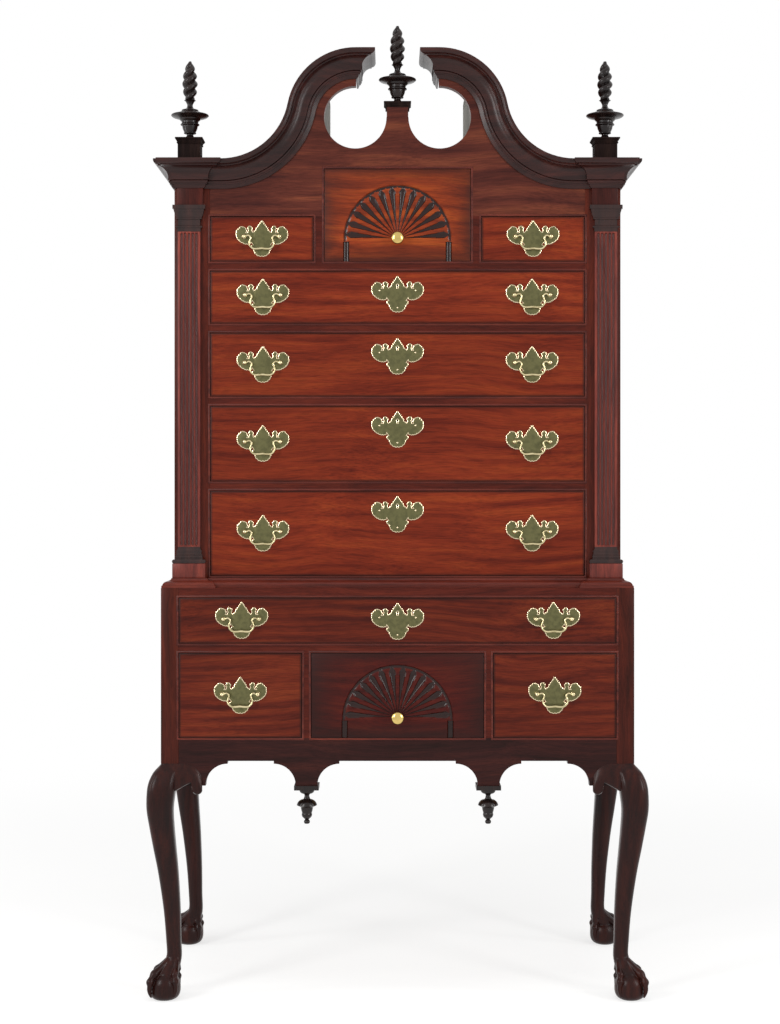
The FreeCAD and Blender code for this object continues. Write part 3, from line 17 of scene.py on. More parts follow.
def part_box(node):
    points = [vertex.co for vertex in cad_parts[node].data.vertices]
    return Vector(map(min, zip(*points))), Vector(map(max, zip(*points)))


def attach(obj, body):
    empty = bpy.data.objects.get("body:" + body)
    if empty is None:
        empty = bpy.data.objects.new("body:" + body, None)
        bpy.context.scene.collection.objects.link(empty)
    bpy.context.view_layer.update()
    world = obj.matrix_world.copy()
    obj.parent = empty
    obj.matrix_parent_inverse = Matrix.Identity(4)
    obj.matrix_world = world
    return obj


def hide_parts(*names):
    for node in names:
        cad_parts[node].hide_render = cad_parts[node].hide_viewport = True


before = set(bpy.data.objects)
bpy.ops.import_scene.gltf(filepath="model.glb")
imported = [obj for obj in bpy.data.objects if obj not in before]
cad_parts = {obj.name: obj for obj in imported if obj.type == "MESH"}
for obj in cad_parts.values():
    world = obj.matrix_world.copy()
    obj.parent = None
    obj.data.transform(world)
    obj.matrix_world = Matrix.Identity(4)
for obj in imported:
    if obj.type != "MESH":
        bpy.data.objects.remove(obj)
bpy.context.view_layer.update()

MM = 0.001

# %% [markdown]
# ## Places that the whole lesson uses
#
# A cabinet maker marks every part from a few faces: the front of each case, the openings and the
# centre lines of the handles.  They could be typed again, but a place read from the frame can't drift
# away from the piece it belongs to.  So each one comes from a node's box.

# %% The faces and the drawers
upper_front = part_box("upper_rails_and_runners")[0].y
lower_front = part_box("skirt")[0].y
lower_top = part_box("lower_rails_and_runners")[1].z
case_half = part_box("upper_case_panels")[1].x
post_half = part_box("lower_case_panels")[1].x + 2 * MM
cornice_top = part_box("pilasters")[1].z
waist_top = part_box("waist_moulding")[1].z

SMALL = ["top_left", "top_right", "base_left", "base_right"]
LONG = ["first_long", "second_long", "third_long", "fourth_long", "base_long"]
FANS = ["upper_fan", "lower_fan"]
DRAWERS = SMALL + LONG + FANS
SIDES = (("left", -1), ("right", 1))
LIFT, GAP = 0.4 * MM, 1.0 * MM      # a drawer's clearance below it, and round its other edges
BAIL_WIRE = 2.3 * MM                # half the thickness of a bail in its post
FRONT_THICK = 22 * MM


def opening_of(drawer):
    """The opening round a drawer: its low corner, its high corner, both on the rail's front face."""
    low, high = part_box(drawer + "_drawer_front")
    return low - Vector((GAP, 0, LIFT)), high + Vector((GAP, 0, GAP))


def handles_of(drawer):
    """The bails of a drawer with the point midway between their posts."""
    found = []
    for word in ("bail", "left_bail", "right_bail"):
        name = drawer + "_" + word
        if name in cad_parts:
            low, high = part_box(name)
            middle = Vector(((low.x + high.x) / 2, (low.y + high.y) / 2, high.z - BAIL_WIRE))
            found.append((name, middle))
    return found


print("upper front", round(upper_front, 4), "lower front", round(lower_front, 4))
print("handles:", sum(len(handles_of(drawer)) for drawer in DRAWERS))

# %% [markdown]
# ## Floor, light and camera
#
# The chest stands on a pale floor between soft lamps, and the lens looks at it from breast height
# and from far enough away that its verticals stay upright.  A backdrop could be a big curved wall.
# Here the world itself is the backdrop: rays from the lens and from shiny surfaces find it white,
# while its light on the wood stays at a plain level.  The floor fades into that white with distance.
# Two small helpers come first, since everything here is a mesh or an object in the scene.


# %% Objects in the scene
def linked(name, data):
    """An object with its data, put into the scene."""
    obj = bpy.data.objects.new(name, data)
    bpy.context.scene.collection.objects.link(obj)
    return obj


def mesh_of(shape, name="raw"):
    """A bmesh turned into a mesh; the bmesh is let go."""
    mesh = bpy.data.meshes.new(name)
    shape.to_mesh(mesh)
    shape.free()
    return mesh


print("meshes in the frame:", len(bpy.data.meshes))

# %% The camera
EYE = Vector((-17 * MM, -4.397, 1.158))
LENS = 64.6
SHIFT = -0.0264     # the lens is shifted down, not tilted, so that upright edges stay parallel
camera = linked("camera", bpy.data.cameras.new("camera"))
camera.location = EYE
camera.rotation_euler = (math.radians(90), 0, 0)
camera.data.lens = LENS
camera.data.sensor_width = 36
camera.data.shift_y = SHIFT
bpy.context.scene.camera = camera
bpy.context.scene.view_settings.view_transform = "Standard"
print("camera", tuple(round(v, 3) for v in EYE), "lens", LENS)


# %% One function for colours and one for shader nodes
def linear(colour):
    """An sRGB hex colour as the linear numbers that Blender's sockets take."""
    parts = [int(colour[start:start + 2], 16) / 255 for start in (1, 3, 5)]
    return tuple(p / 12.92 if p <= 0.04045 else ((p + 0.055) / 1.055) ** 2.4 for p in parts) + (1.0,)


def add(tree, kind, inputs=None, **settings):
    """Add a node.  An input that is given a socket is linked to it, any other is set."""
    node = tree.nodes.new(kind)
    for name, value in settings.items():
        setattr(node, name, value)
    for name, value in (inputs or {}).items():
        if isinstance(value, bpy.types.NodeSocket):
            tree.links.new(value, node.inputs[name])
        else:
            node.inputs[name].default_value = value
    return node


print("half-bright grey is", round(linear("#808080")[0], 3), "in linear numbers")


# %% The white room
world = bpy.data.worlds.new("white_room")
bpy.context.scene.world = world
world.use_nodes = True
tree = world.node_tree
tree.nodes.clear()
ray = add(tree, "ShaderNodeLightPath")
seen = add(tree, "ShaderNodeMath", {0: ray.outputs["Is Camera Ray"], 1: ray.outputs["Is Glossy Ray"]},
           operation="MAXIMUM")
seen = add(tree, "ShaderNodeMath", {0: seen.outputs[0], 1: ray.outputs["Is Transmission Ray"]},
           operation="MAXIMUM")
ROOM_LIGHT = 0.42
plain = add(tree, "ShaderNodeBackground", {"Color": linear("#ffffff"), "Strength": ROOM_LIGHT})
white = add(tree, "ShaderNodeBackground", {"Color": linear("#ffffff"), "Strength": 1.0})
both = add(tree, "ShaderNodeMixShader", {0: seen.outputs[0], 1: plain.outputs[0], 2: white.outputs[0]})
add(tree, "ShaderNodeOutputWorld", {"Surface": both.outputs[0]})
print("room light", ROOM_LIGHT)


# %% The lamps
def softbox(name, place, aim, size, power):
    """A soft rectangular lamp that faces its aim."""
    lamp = bpy.data.lights.new(name, "AREA")
    lamp.shape = "RECTANGLE"
    lamp.size, lamp.size_y = size
    lamp.energy = power
    obj = linked(name, lamp)
    obj.location = place
    obj.rotation_euler = (Vector(aim) - Vector(place)).to_track_quat("-Z", "Y").to_euler()


softbox("left_lamp", (-2.7, -3.0, 2.3), (0, 0, 1.1), (0.8, 2.0), 62)
softbox("right_lamp", (2.9, -2.8, 2.0), (0, 0, 1.1), (0.7, 1.9), 44)
softbox("top_lamp", (0, -1.2, 4.4), (0, 0, 0.9), (2.4, 1.6), 44)
softbox("left_edge_lamp", (-3.1, -0.8, 1.5), (0, 0, 1.0), (0.5, 1.9), 20)
softbox("right_edge_lamp", (3.1, -0.8, 1.6), (0, 0, 1.0), (0.4, 1.8), 12)
bpy.data.objects["top_lamp"].visible_glossy = False     # it lights the knees without a flat glare
print("lamps:", len(bpy.data.lights))

# %% The floor
FLOOR_HALF = 14.0
FADE_START, FADE_END = 1.1, 3.4
VEIL = 0.5          # how much of the floor's own shade a white glow takes away, for the lens alone
ground = bmesh.new()
bmesh.ops.create_grid(ground, x_segments=8, y_segments=8, size=FLOOR_HALF)
floor = linked("floor", mesh_of(ground, "floor"))

material = bpy.data.materials.new("pale_floor")
material.use_nodes = True
tree = material.node_tree
tree.nodes.clear()
place = add(tree, "ShaderNodeTexCoord").outputs["Object"]
away = add(tree, "ShaderNodeVectorMath", {0: place}, operation="LENGTH").outputs["Value"]
fade = add(tree, "ShaderNodeMapRange", {"Value": away, "From Min": FADE_START, "From Max": FADE_END},
           interpolation_type="SMOOTHSTEP").outputs[0]
ray = add(tree, "ShaderNodeLightPath")
lens_ray = add(tree, "ShaderNodeMath",
               {0: ray.outputs["Is Camera Ray"], 1: ray.outputs["Is Glossy Ray"]},
               operation="MAXIMUM").outputs[0]
fade = add(tree, "ShaderNodeMath", {0: fade, 1: lens_ray}, operation="MULTIPLY").outputs[0]
paint = add(tree, "ShaderNodeBsdfDiffuse", {"Color": linear("#f0f0ef")}).outputs[0]
veil = add(tree, "ShaderNodeMath", {0: lens_ray, 1: VEIL}, operation="MULTIPLY").outputs[0]
glow = add(tree, "ShaderNodeEmission", {"Color": linear("#ffffff"), "Strength": 1.35}).outputs[0]
lit = add(tree, "ShaderNodeMixShader", {0: veil, 1: paint, 2: glow}).outputs[0]
blank = add(tree, "ShaderNodeEmission", {"Color": linear("#ffffff"), "Strength": 1.0}).outputs[0]
mixed = add(tree, "ShaderNodeMixShader", {0: fade, 1: lit, 2: blank}).outputs[0]
add(tree, "ShaderNodeOutputMaterial", {"Surface": mixed})
floor.data.materials.append(material)
print("floor", 2 * FLOOR_HALF, "m wide")

# %% [markdown]
# ## Mahogany under an old varnish
#
# The chest is mahogany: a red-brown wood whose grain runs in long soft streaks, with fine dark pores
# in the same direction.  It was planed, scraped, stained and varnished, and two centuries of polish
# have left a satin skin that is smoother than the wood.  An image of planks could be laid over it, but
# it would repeat and stretch on turned pieces.  Noise drawn out along the grain is solid: it runs
# through the wood, so end grain, mouldings and carving all cut through the same figure.


# %% A material with its shader
def finish(name):
    """A new material, its node tree and its shader."""
    material = bpy.data.materials.new(name)
    material.use_nodes = True
    tree = material.node_tree
    tree.nodes.clear()
    shader = add(tree, "ShaderNodeBsdfPrincipled")
    add(tree, "ShaderNodeOutputMaterial", {"Surface": shader.outputs[0]})
    return material, tree, shader


GRAIN = {"x": (1, 0, 0), "y": (0, 1, 0), "z": (0, 0, 1)}
GRAIN_SWAY = 0.075      # how far, in metres, slow noise bends the grain from side to side
PAINTED_SHADE_COLOUR = "#1d0f0c"  # painted shade, laid into edges, corners and hollows


def drawn_out(tree, place, along, length, width):
    """Coordinates in which a streak of this length and width, in mm, is one unit each way."""
    scale = [1000 / (length if share else width) for share in GRAIN[along]]
    return add(tree, "ShaderNodeMapping", {"Vector": place, "Scale": scale}).outputs[0]


print("grain bends by up to", round(GRAIN_SWAY / MM), "mm")


# %% Wood with figure, pores and varnish
def mahogany(name, along, dark, middle, light, figure=(340, 15), seed=0.0, gloss=0.34, polish=0.12):
    """Varnished mahogany: broad figure, dark pores, edges and hollows darkened by painted shade."""
    material, tree, shader = finish(name)
    place = add(tree, "ShaderNodeTexCoord").outputs["Object"]
    sway = add(tree, "ShaderNodeTexNoise",
               {"Vector": place, "W": seed, "Scale": 1000 / 380, "Detail": 1.0},
               noise_dimensions="4D").outputs["Color"]
    bent = add(tree, "ShaderNodeVectorMath", {0: sway, 1: (GRAIN_SWAY,) * 3, 2: place},
               operation="MULTIPLY_ADD").outputs[0]
    streaks = add(tree, "ShaderNodeTexNoise",
                  {"Vector": drawn_out(tree, bent, along, *figure), "W": seed, "Scale": 1.0, "Detail": 4.0,
                   "Roughness": 0.56}, noise_dimensions="4D").outputs["Fac"]
    ramp = add(tree, "ShaderNodeValToRGB", {"Fac": streaks})
    ramp.color_ramp.elements[0].position = 0.33
    ramp.color_ramp.elements[0].color = linear(dark)
    ramp.color_ramp.elements[1].position = 0.70
    ramp.color_ramp.elements[1].color = linear(light)
    ramp.color_ramp.elements.new(0.52).color = linear(middle)
    # pores are a tenth of a millimetre wide; these are drawn as coarse as they need to be to show
    pores = add(tree, "ShaderNodeTexNoise",
                {"Vector": drawn_out(tree, bent, along, 34, 1.7), "Scale": 1.0,
                 "Detail": 2.0}).outputs["Fac"]
    pores = add(tree, "ShaderNodeMapRange", {"Value": pores, "From Min": 0.36, "From Max": 0.56,
                                             "To Min": 0.72, "To Max": 1.04}).outputs[0]
    patches = add(tree, "ShaderNodeTexNoise",
                  {"Vector": drawn_out(tree, place, along, 900, 210), "W": seed + 3, "Scale": 1.0},
                  noise_dimensions="4D").outputs["Fac"]
    patches = add(tree, "ShaderNodeMapRange", {"Value": patches, "From Min": 0.3, "From Max": 0.7,
                                               "To Min": 0.84, "To Max": 1.16}).outputs[0]
    tone = add(tree, "ShaderNodeMath", {0: pores, 1: patches}, operation="MULTIPLY").outputs[0]
    toned = add(tree, "ShaderNodeVectorMath", {0: ramp.outputs["Color"], "Scale": tone},
                operation="SCALE").outputs[0]
    # painted shade: an attribute on the piece mixes in a dark colour, standing in for shade in hollows and
    # along edges
    painted_shade = add(tree, "ShaderNodeAttribute", attribute_name="painted_shade").outputs["Fac"]
    shade_mixed = add(tree, "ShaderNodeMix", {0: painted_shade, 6: toned, 7: linear(PAINTED_SHADE_COLOUR)},
               data_type="RGBA").outputs[2]
    tree.links.new(shade_mixed, shader.inputs["Base Color"])
    sheen = add(tree, "ShaderNodeTexNoise",
                {"Vector": place, "Scale": 1000 / 60, "Detail": 3.0}).outputs["Fac"]
    sheen = add(tree, "ShaderNodeMapRange", {"Value": sheen, "To Min": gloss - 0.08,
                                             "To Max": gloss + 0.12}).outputs[0]
    tree.links.new(sheen, shader.inputs["Roughness"])
    bump = add(tree, "ShaderNodeBump",
               {"Height": pores, "Strength": 0.12, "Distance": 0.4 * MM}).outputs[0]
    tree.links.new(bump, shader.inputs["Normal"])
    shader.inputs["IOR"].default_value = 1.5
    # old varnish is worn thin, so it mirrors less of the room than a new skin would
    shader.inputs["Specular IOR Level"].default_value = polish
    shader.inputs["Coat Weight"].default_value = 0.3 * polish
    shader.inputs["Coat Roughness"].default_value = 0.22
    return material


front_wood = mahogany("drawer_front_mahogany", "x", "#5a1b0e", "#772a15", "#883719", seed=1.3)
print("a mahogany has", len(front_wood.node_tree.nodes), "shader nodes")

# %% The cuts of mahogany on the chest
# the lower case's fronts and fan are darker copies of the upper ones: painted shade, as less light falls on
# the lower case
shaded_low_front_wood = mahogany("lower_front_shaded_mahogany", "x", "#44150e", "#622314", "#743019", seed=1.9)
fan_wood = mahogany("carved_mahogany", "x", "#6c2712", "#8d3717", "#a24a1c", seed=4.1, polish=0.16)
shaded_lower_fan_wood = mahogany("lower_carved_shaded_mahogany", "x", "#390f0b", "#4c140e", "#5c1f12",
                          seed=5.7, polish=0.14)
# a darker copy of the carved wood for the faces deep in the fans' hollows: painted shade in the gouged
# hollows
shaded_hollow_wood = mahogany("gouged_mahogany_shaded", "x", "#220c08", "#32130d", "#411910",
                       seed=4.7, gloss=0.16, polish=0.26)
board_wood = mahogany("scroll_board_mahogany", "x", "#3c1915", "#58291f", "#723b28", (300, 22), seed=2.2)
rail_wood = mahogany("rail_mahogany", "x", "#39130d", "#501c13", "#602518", seed=6.4)
skirt_wood = mahogany("skirt_mahogany", "x", "#210f0d", "#2f1513", "#3d1c17", seed=6.8)
stile_wood = mahogany("stile_mahogany", "z", "#38120b", "#511d12", "#612516", seed=7.9)
shaft_wood = mahogany("pilaster_mahogany", "z", "#54211b", "#743229", "#8b3e30",
                      seed=8.5, gloss=0.3, polish=0.25)
capital_wood = mahogany("capital_mahogany", "z", "#1f1210", "#2f1b18", "#3d231d",
                        seed=8.9, gloss=0.28, polish=0.3)
post_wood = mahogany("post_mahogany", "z", "#311109", "#451910", "#562115", seed=7.1)
frieze_wood = mahogany("frieze_mahogany", "z", "#2a100d", "#421b16", "#55231b", seed=3.4)
side_wood = mahogany("side_mahogany", "z", "#3d1812", "#5d2719", "#743621", (420, 26), seed=9.2, gloss=0.5)
waist_wood = mahogany("waist_mahogany", "x", "#40160f", "#5a2117", "#6c2b1d",
                      seed=9.6, gloss=0.3, polish=0.22)
bead_wood = mahogany("bead_mahogany", "x", "#3f1712", "#58231a", "#6b2d20", seed=6.9, polish=0.2)
sawn_wood = mahogany("sawn_mahogany", "z", "#1d100e", "#2a1815", "#36201b",
                     seed=10.1, gloss=0.75, polish=0.0)
block_wood = mahogany("plinth_mahogany", "z", "#181110", "#221816", "#2c1f1b",
                      seed=10.4, gloss=0.6, polish=0.03)
moulding_wood = mahogany("moulding_mahogany", "x", "#200b09", "#2f1512", "#3f1d18",
                         seed=10.6, gloss=0.3, polish=0.25)
leg_wood = mahogany("leg_mahogany", "z", "#1c0b09", "#2b100c", "#3a1710",
                    seed=11.4, gloss=0.28, polish=0.16)
turned_wood = mahogany("turned_mahogany", "z", "#130c0b", "#1c1210", "#261814",
                       seed=12.8, gloss=0.24, polish=0.3)
print("mahogany finishes made")

# %% [markdown]
# ## Poplar, brass and iron
#
# Behind the fronts the drawers are poplar: pale, plain and left unvarnished.  The plates, bails and
# knobs are cast brass, filed and burnished on their edges and left to dull on their faces, so one
# metal needs two finishes.  The locks are iron.


# %% Unvarnished poplar
def poplar(name, along, dark, light, seed):
    """Dry pale wood: faint streaks, brown with age, no varnish."""
    material, tree, shader = finish(name)
    place = add(tree, "ShaderNodeTexCoord").outputs["Object"]
    streaks = add(tree, "ShaderNodeTexNoise",
                  {"Vector": drawn_out(tree, place, along, 260, 9), "W": seed, "Scale": 1.0, "Detail": 5.0},
                  noise_dimensions="4D").outputs["Fac"]
    ramp = add(tree, "ShaderNodeValToRGB", {"Fac": streaks})
    ramp.color_ramp.elements[0].position = 0.34
    ramp.color_ramp.elements[0].color = linear(dark)
    ramp.color_ramp.elements[1].position = 0.66
    ramp.color_ramp.elements[1].color = linear(light)
    tree.links.new(ramp.outputs["Color"], shader.inputs["Base Color"])
    bump = add(tree, "ShaderNodeBump",
               {"Height": streaks, "Strength": 0.25, "Distance": 0.5 * MM}).outputs[0]
    tree.links.new(bump, shader.inputs["Normal"])
    shader.inputs["Roughness"].default_value = 0.72
    return material


lining_wood = poplar("drawer_poplar", "y", "#8e6a3f", "#b8935f", 2.0)
back_wood = poplar("back_poplar", "z", "#5a3e26", "#7c5b38", 3.0)
hood_reflection_wood = poplar("poplar_painted_reflection", "y", "#77756c", "#96938a", 3.6)     # bare boards painted pale grey: a painted reflection of the white room at a grazing angle
print("poplar finishes made")


# %% Brass and iron
def metal(name, colour, tarnish, roughness, patch=9, amount=0.6):
    """Cast metal with cloudy tarnish in patches of this many mm."""
    material, tree, shader = finish(name)
    place = add(tree, "ShaderNodeTexCoord").outputs["Object"]
    cloud = add(tree, "ShaderNodeTexNoise",
                {"Vector": place, "Scale": 1000 / patch, "Detail": 4.0}).outputs["Fac"]
    cloud = add(tree, "ShaderNodeMapRange", {"Value": cloud, "From Min": 0.4, "From Max": 0.65,
                                             "To Max": amount}).outputs[0]
    mixed = add(tree, "ShaderNodeMix", {0: cloud, 6: linear(colour), 7: linear(tarnish)},
                data_type="RGBA").outputs[2]
    tree.links.new(mixed, shader.inputs["Base Color"])
    dull = add(tree, "ShaderNodeMapRange",
               {"Value": cloud, "To Min": roughness, "To Max": roughness + 0.2}).outputs[0]
    tree.links.new(dull, shader.inputs["Roughness"])
    shader.inputs["Metallic"].default_value = 1.0
    return material


face_brass = metal("dulled_brass", "#6e6b49", "#515038", 0.30)
edge_brass = metal("burnished_brass", "#ead9b6", "#c0ab80", 0.18, amount=0.4)
bail_brass = metal("rubbed_brass", "#dccfa4", "#9d9164", 0.18, patch=14, amount=0.5)
knob_brass = metal("polished_brass", "#d9bd74", "#a88f52", 0.12, patch=16, amount=0.4)
iron = metal("lock_iron", "#1d1a18", "#120e0c", 0.6)
print("brass and iron made")

# %% [markdown]
# ## Keep what the frame already has right
#
# The straight boards, the mitred mouldings and the scrolls have their final shape in the frame.
# Modelling them again would only copy them, so they stay and get their wood.


# %% Dress the nodes that stay
def dress(node, material):
    """Give a node of the frame its finish."""
    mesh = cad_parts[node].data
    mesh.materials.clear()
    mesh.materials.append(material)


def dress_faces(node, material, chosen):
    """Give a second finish to those faces of a node that are chosen by their normal and centre."""
    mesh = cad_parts[node].data
    mesh.materials.append(material)
    for face in mesh.polygons:
        if chosen(face.normal, face.center):
            face.material_index = len(mesh.materials) - 1


for node, material in {
        "skirt": skirt_wood, "lower_case_panels": side_wood, "lower_rails_and_runners": rail_wood,
        "waist_moulding": waist_wood, "upper_case_panels": side_wood,
        "upper_rails_and_runners": rail_wood, "tympanum": board_wood,
        "cornice_and_scroll_mouldings": moulding_wood, "cabriole_legs": leg_wood,
        "knee_blocks": leg_wood, "drop_pendants": turned_wood, "pilasters": stile_wood,
        "finials": turned_wood}.items():
    dress(node, material)
for drawer in DRAWERS:
    dress(drawer + "_drawer_front", shaded_low_front_wood if drawer.startswith("base") else front_wood)
    dress(drawer + "_drawer_box", lining_wood)
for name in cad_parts:
    if name.endswith("_brasses"):
        dress(name, face_brass)
    if name.endswith("_bail"):
        dress(name, bail_brass)
    if name.endswith("_knob"):
        dress(name, knob_brass)
# the sawn ends of the two scrolls are left rough, the inside of the hood is bare with its boards painted
# pale grey for a painted reflection of the white room, and the backs of both cases are plain poplar boards
dress_faces("cornice_and_scroll_mouldings", sawn_wood,
            lambda normal, centre: abs(normal.x) > 0.95 and abs(centre.x) < 0.1)
dress_faces("upper_case_panels", hood_reflection_wood,
            lambda normal, centre: centre.z > cornice_top and normal.x * centre.x < 0)
for node in ("upper_case_panels", "lower_case_panels"):
    dress_faces(node, back_wood, lambda normal, centre: normal.y > 0.9 and centre.y > 0.2)
print("dressed", len(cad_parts), "nodes")

# %% [markdown]
# ## The few shapes that every piece is made of
#
# Boards, turnings, mouldings that run round a block and carved skins cover the whole chest.  Each could
# be a modifier stack on its own object.  Small functions that return a bmesh are easier to combine:
# `put` adds such a shape to a piece, and `finished` turns the piece into an object that rides with its
# part of the chest.


# %% Outlines with arcs
def arc_points(corners, turn=12):
    """Points along an open outline.  The edge that leaves a corner (x, y, radius) is an arc, with its
    centre on the left of the way for a positive radius and on the right for a negative one."""
    spots = []
    for corner, after in zip(corners, corners[1:]):
        start, end = Vector(corner[:2]), Vector(after[:2])
        spots.append(start)
        if len(corner) > 2:
            way = end - start
            side = 1 if corner[2] > 0 else -1
            radius = max(abs(corner[2]), way.length / 2)
            to_centre = math.sqrt(radius ** 2 - (way.length / 2) ** 2) * side
            centre = (start + end) / 2 + Vector((-way.y, way.x)).normalized() * to_centre
            swing = 2 * math.asin(min(1, way.length / 2 / radius)) * side
            steps = max(2, round(abs(math.degrees(swing)) / turn))
            for step in range(1, steps):
                spots.append(centre + Matrix.Rotation(swing * step / steps, 2) @ (start - centre))
    return spots + [Vector(corners[-1][:2])]


def swings(count):
    """The angles of points evenly spaced round a circle."""
    return [2 * math.pi * step / count for step in range(count)]


def way_at(line, index):
    """The direction of a line of points at one of them."""
    return (line[min(index + 1, len(line) - 1)] - line[max(index - 1, 0)]).normalized()


def curve_points(knots, steps):
    """A smooth line through knots of any size, with its slopes taken from their neighbours."""
    spots = []
    for index in range(len(knots) - 1):
        here, after = Vector(knots[index]), Vector(knots[index + 1])
        before = Vector(knots[max(index - 1, 0)])
        beyond = Vector(knots[min(index + 2, len(knots) - 1)])
        for step in range(steps):
            t = step / steps
            leave, arrive = (after - before) / 2, (beyond - here) / 2
            spots.append(here * (2 * t ** 3 - 3 * t ** 2 + 1) + leave * (t ** 3 - 2 * t ** 2 + t)
                         + after * (3 * t ** 2 - 2 * t ** 3) + arrive * (t ** 3 - t ** 2))
    return spots + [Vector(knots[-1])]


print("a quarter round has", len(arc_points([(1, 0, 1), (0, 1)])), "points")


# %% Boards, turnings and skins
def plank(low, high, ease=0.7 * MM):
    """A straight board with eased edges."""
    shape = bmesh.new()
    bmesh.ops.create_cube(shape, size=1)
    low, high = Vector(low), Vector(high)
    bmesh.ops.scale(shape, vec=high - low, verts=shape.verts)
    bmesh.ops.translate(shape, vec=(low + high) / 2, verts=shape.verts)
    if ease:
        bmesh.ops.bevel(shape, geom=shape.edges, offset=ease, offset_type="OFFSET", segments=2,
                        profile=0.5, affect="EDGES", material=-1)
    return shape


def turned(outline, steps=40):
    """A turning about Z from its half outline, whose corners are (radius, height) in mm."""
    shape = bmesh.new()
    spots = [shape.verts.new((x * MM, 0, z * MM)) for x, z in arc_points(outline)]
    edges = [shape.edges.new(pair) for pair in zip(spots, spots[1:])]
    bmesh.ops.spin(shape, geom=spots + edges, cent=(0, 0, 0), axis=(0, 0, 1), angle=2 * math.pi,
                   steps=steps, use_merge=True)
    return shape


def grow(shape, loop, places):
    """Extrude a closed loop of vertices and move each new one to its place."""
    edges = [shape.edges.get(pair) for pair in zip(loop, loop[1:] + loop[:1])]
    made = set(bmesh.ops.extrude_edge_only(shape, edges=edges)["geom"])
    after = [next(edge.other_vert(vert) for edge in vert.link_edges if edge.other_vert(vert) in made)
             for vert in loop]
    for vert, place in zip(after, places):
        vert.co = place
    return after


def skin(rings, ends=True):
    """A skin through rings of points, closed by flat ends or else joined end to end."""
    shape = bmesh.new()
    bmesh.ops.create_circle(shape, segments=len(rings[0]), radius=1)
    first = list(shape.verts)
    for vert, place in zip(first, rings[0]):
        vert.co = place
    start = list(shape.edges)
    loop = first
    for ring in rings[1:]:
        loop = grow(shape, loop, ring)
    end = [shape.edges.get(pair) for pair in zip(loop, loop[1:] + loop[:1])]
    if ends:
        bmesh.ops.edgeloop_fill(shape, edges=start)
        bmesh.ops.edgeloop_fill(shape, edges=end)
    else:
        bmesh.ops.bridge_loops(shape, edges=start + end)
    return shape


sample = plank((0, 0, 0), (1, 1, 1))
print("an eased board has", len(sample.faces), "faces")
sample.free()


# %% From shapes to a finished piece
SEAM = 0.004 * MM       # points closer than this are one point
GROW_MM = Matrix.Diagonal((MM, MM, MM, 1))


def closed(shape):
    """A shape with its seams merged and its faces turned outwards."""
    bmesh.ops.remove_doubles(shape, verts=shape.verts, dist=SEAM)
    bmesh.ops.recalc_face_normals(shape, faces=shape.faces)
    return shape


def put(piece, shape, place=None, coat=0):
    """Add a shape to a piece; coat None keeps the shape's own finishes."""
    if place is not None:
        bmesh.ops.transform(shape, matrix=place, verts=shape.verts)
    closed(shape)
    if coat is not None:
        for face in shape.faces:
            face.material_index = coat
    carrier = mesh_of(shape)
    piece.from_mesh(carrier)
    bpy.data.meshes.remove(carrier)


def finished(name, piece, coats, body, stands_for=(), crease=32):
    """A piece as an object that rides on its body and stands for nodes of the frame."""
    mesh = mesh_of(piece, name)
    for coat in coats:
        mesh.materials.append(coat)
    mesh.polygons.foreach_set("use_smooth", [True] * len(mesh.polygons))
    mesh.set_sharp_from_angle(angle=math.radians(crease))
    obj = linked(name, mesh)
    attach(obj, body)
    if stands_for:
        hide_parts(*stands_for)
    return obj


print("seams closer than", SEAM / MM, "mm are merged")


# %% Where a shape goes, and shapes that a modifier works on
def at(x, y, z, turn=0, about="Z"):
    """A place, turned by some degrees about one axis first."""
    return Matrix.Translation((x, y, z)) @ Matrix.Rotation(math.radians(turn), 4, about)


def worked(shape, kind, tool=None, **settings):
    """A shape after one modifier, which may take another shape as its tool."""
    raw = [linked("raw", mesh_of(item)) for item in (shape, tool) if item is not None]
    modifier = raw[0].modifiers.new("work", kind)
    for name, value in settings.items():
        setattr(modifier, name, value)
    if tool is not None:
        modifier.object = raw[1]
    result = bmesh.new()
    result.from_object(raw[0], bpy.context.evaluated_depsgraph_get())
    for obj in raw:
        mesh = obj.data
        bpy.data.objects.remove(obj)
        bpy.data.meshes.remove(mesh)
    return result


def cut_out(shape, tool):
    """A shape less another, by an exact Boolean."""
    return worked(closed(shape), "BOOLEAN", closed(tool), operation="DIFFERENCE", solver="EXACT")


print("a place turned about X:", at(0, 0, 1, 90, "X").to_euler())

# %% [markdown]
# ## Cast brass plates
#
# Each handle hangs on a plate cut to a bat's wings, with small scallops filed all round its edge.  The
# outline could be traced as a curve object and given a bevel.  A flat face that is filled, extruded and
# inset keeps the bevelled edge as faces of its own, so that the edge can be bright and the face dull.

# %% The outline of a plate
WING_HALF = 59.5
SCALLOP, SCALLOP_ROUND = 5.0, 0.62     # length of one scallop, and its radius as a share of that
PLATE = [
    # one half from the tail up to the spire; a third item marks an edge that is left straight
    (0, -43.4), (6.5, -43), (12.5, -39.5), (16.8, -34), (18.4, -29), (24.4, -23), (20.5, -17.5, 0),
    (24, -12.5), (29.5, -16.2), (39, -15.5), (48.6, -10.5), (55.5, -4), (58.3, 3), (58.3, 10.5), (55, 17),
    (47.5, 24), (39.8, 22.3), (36, 17.5), (35.4, 10.2, 0), (32.4, 10.2, 0), (30.8, 16.5), (32.4, 21),
    (26.5, 25.2), (20.8, 19.8, 0), (22.6, 14.8, 0), (20.6, 10.9, 0), (17.6, 12.8), (14.4, 15.2),
    (13.4, 18.6), (7.4, 27), (0, 37.8)]
PLATE_THICK, EDGE_WIDE, EDGE_FALL = 1.1 * MM, 1.25 * MM, 0.7 * MM


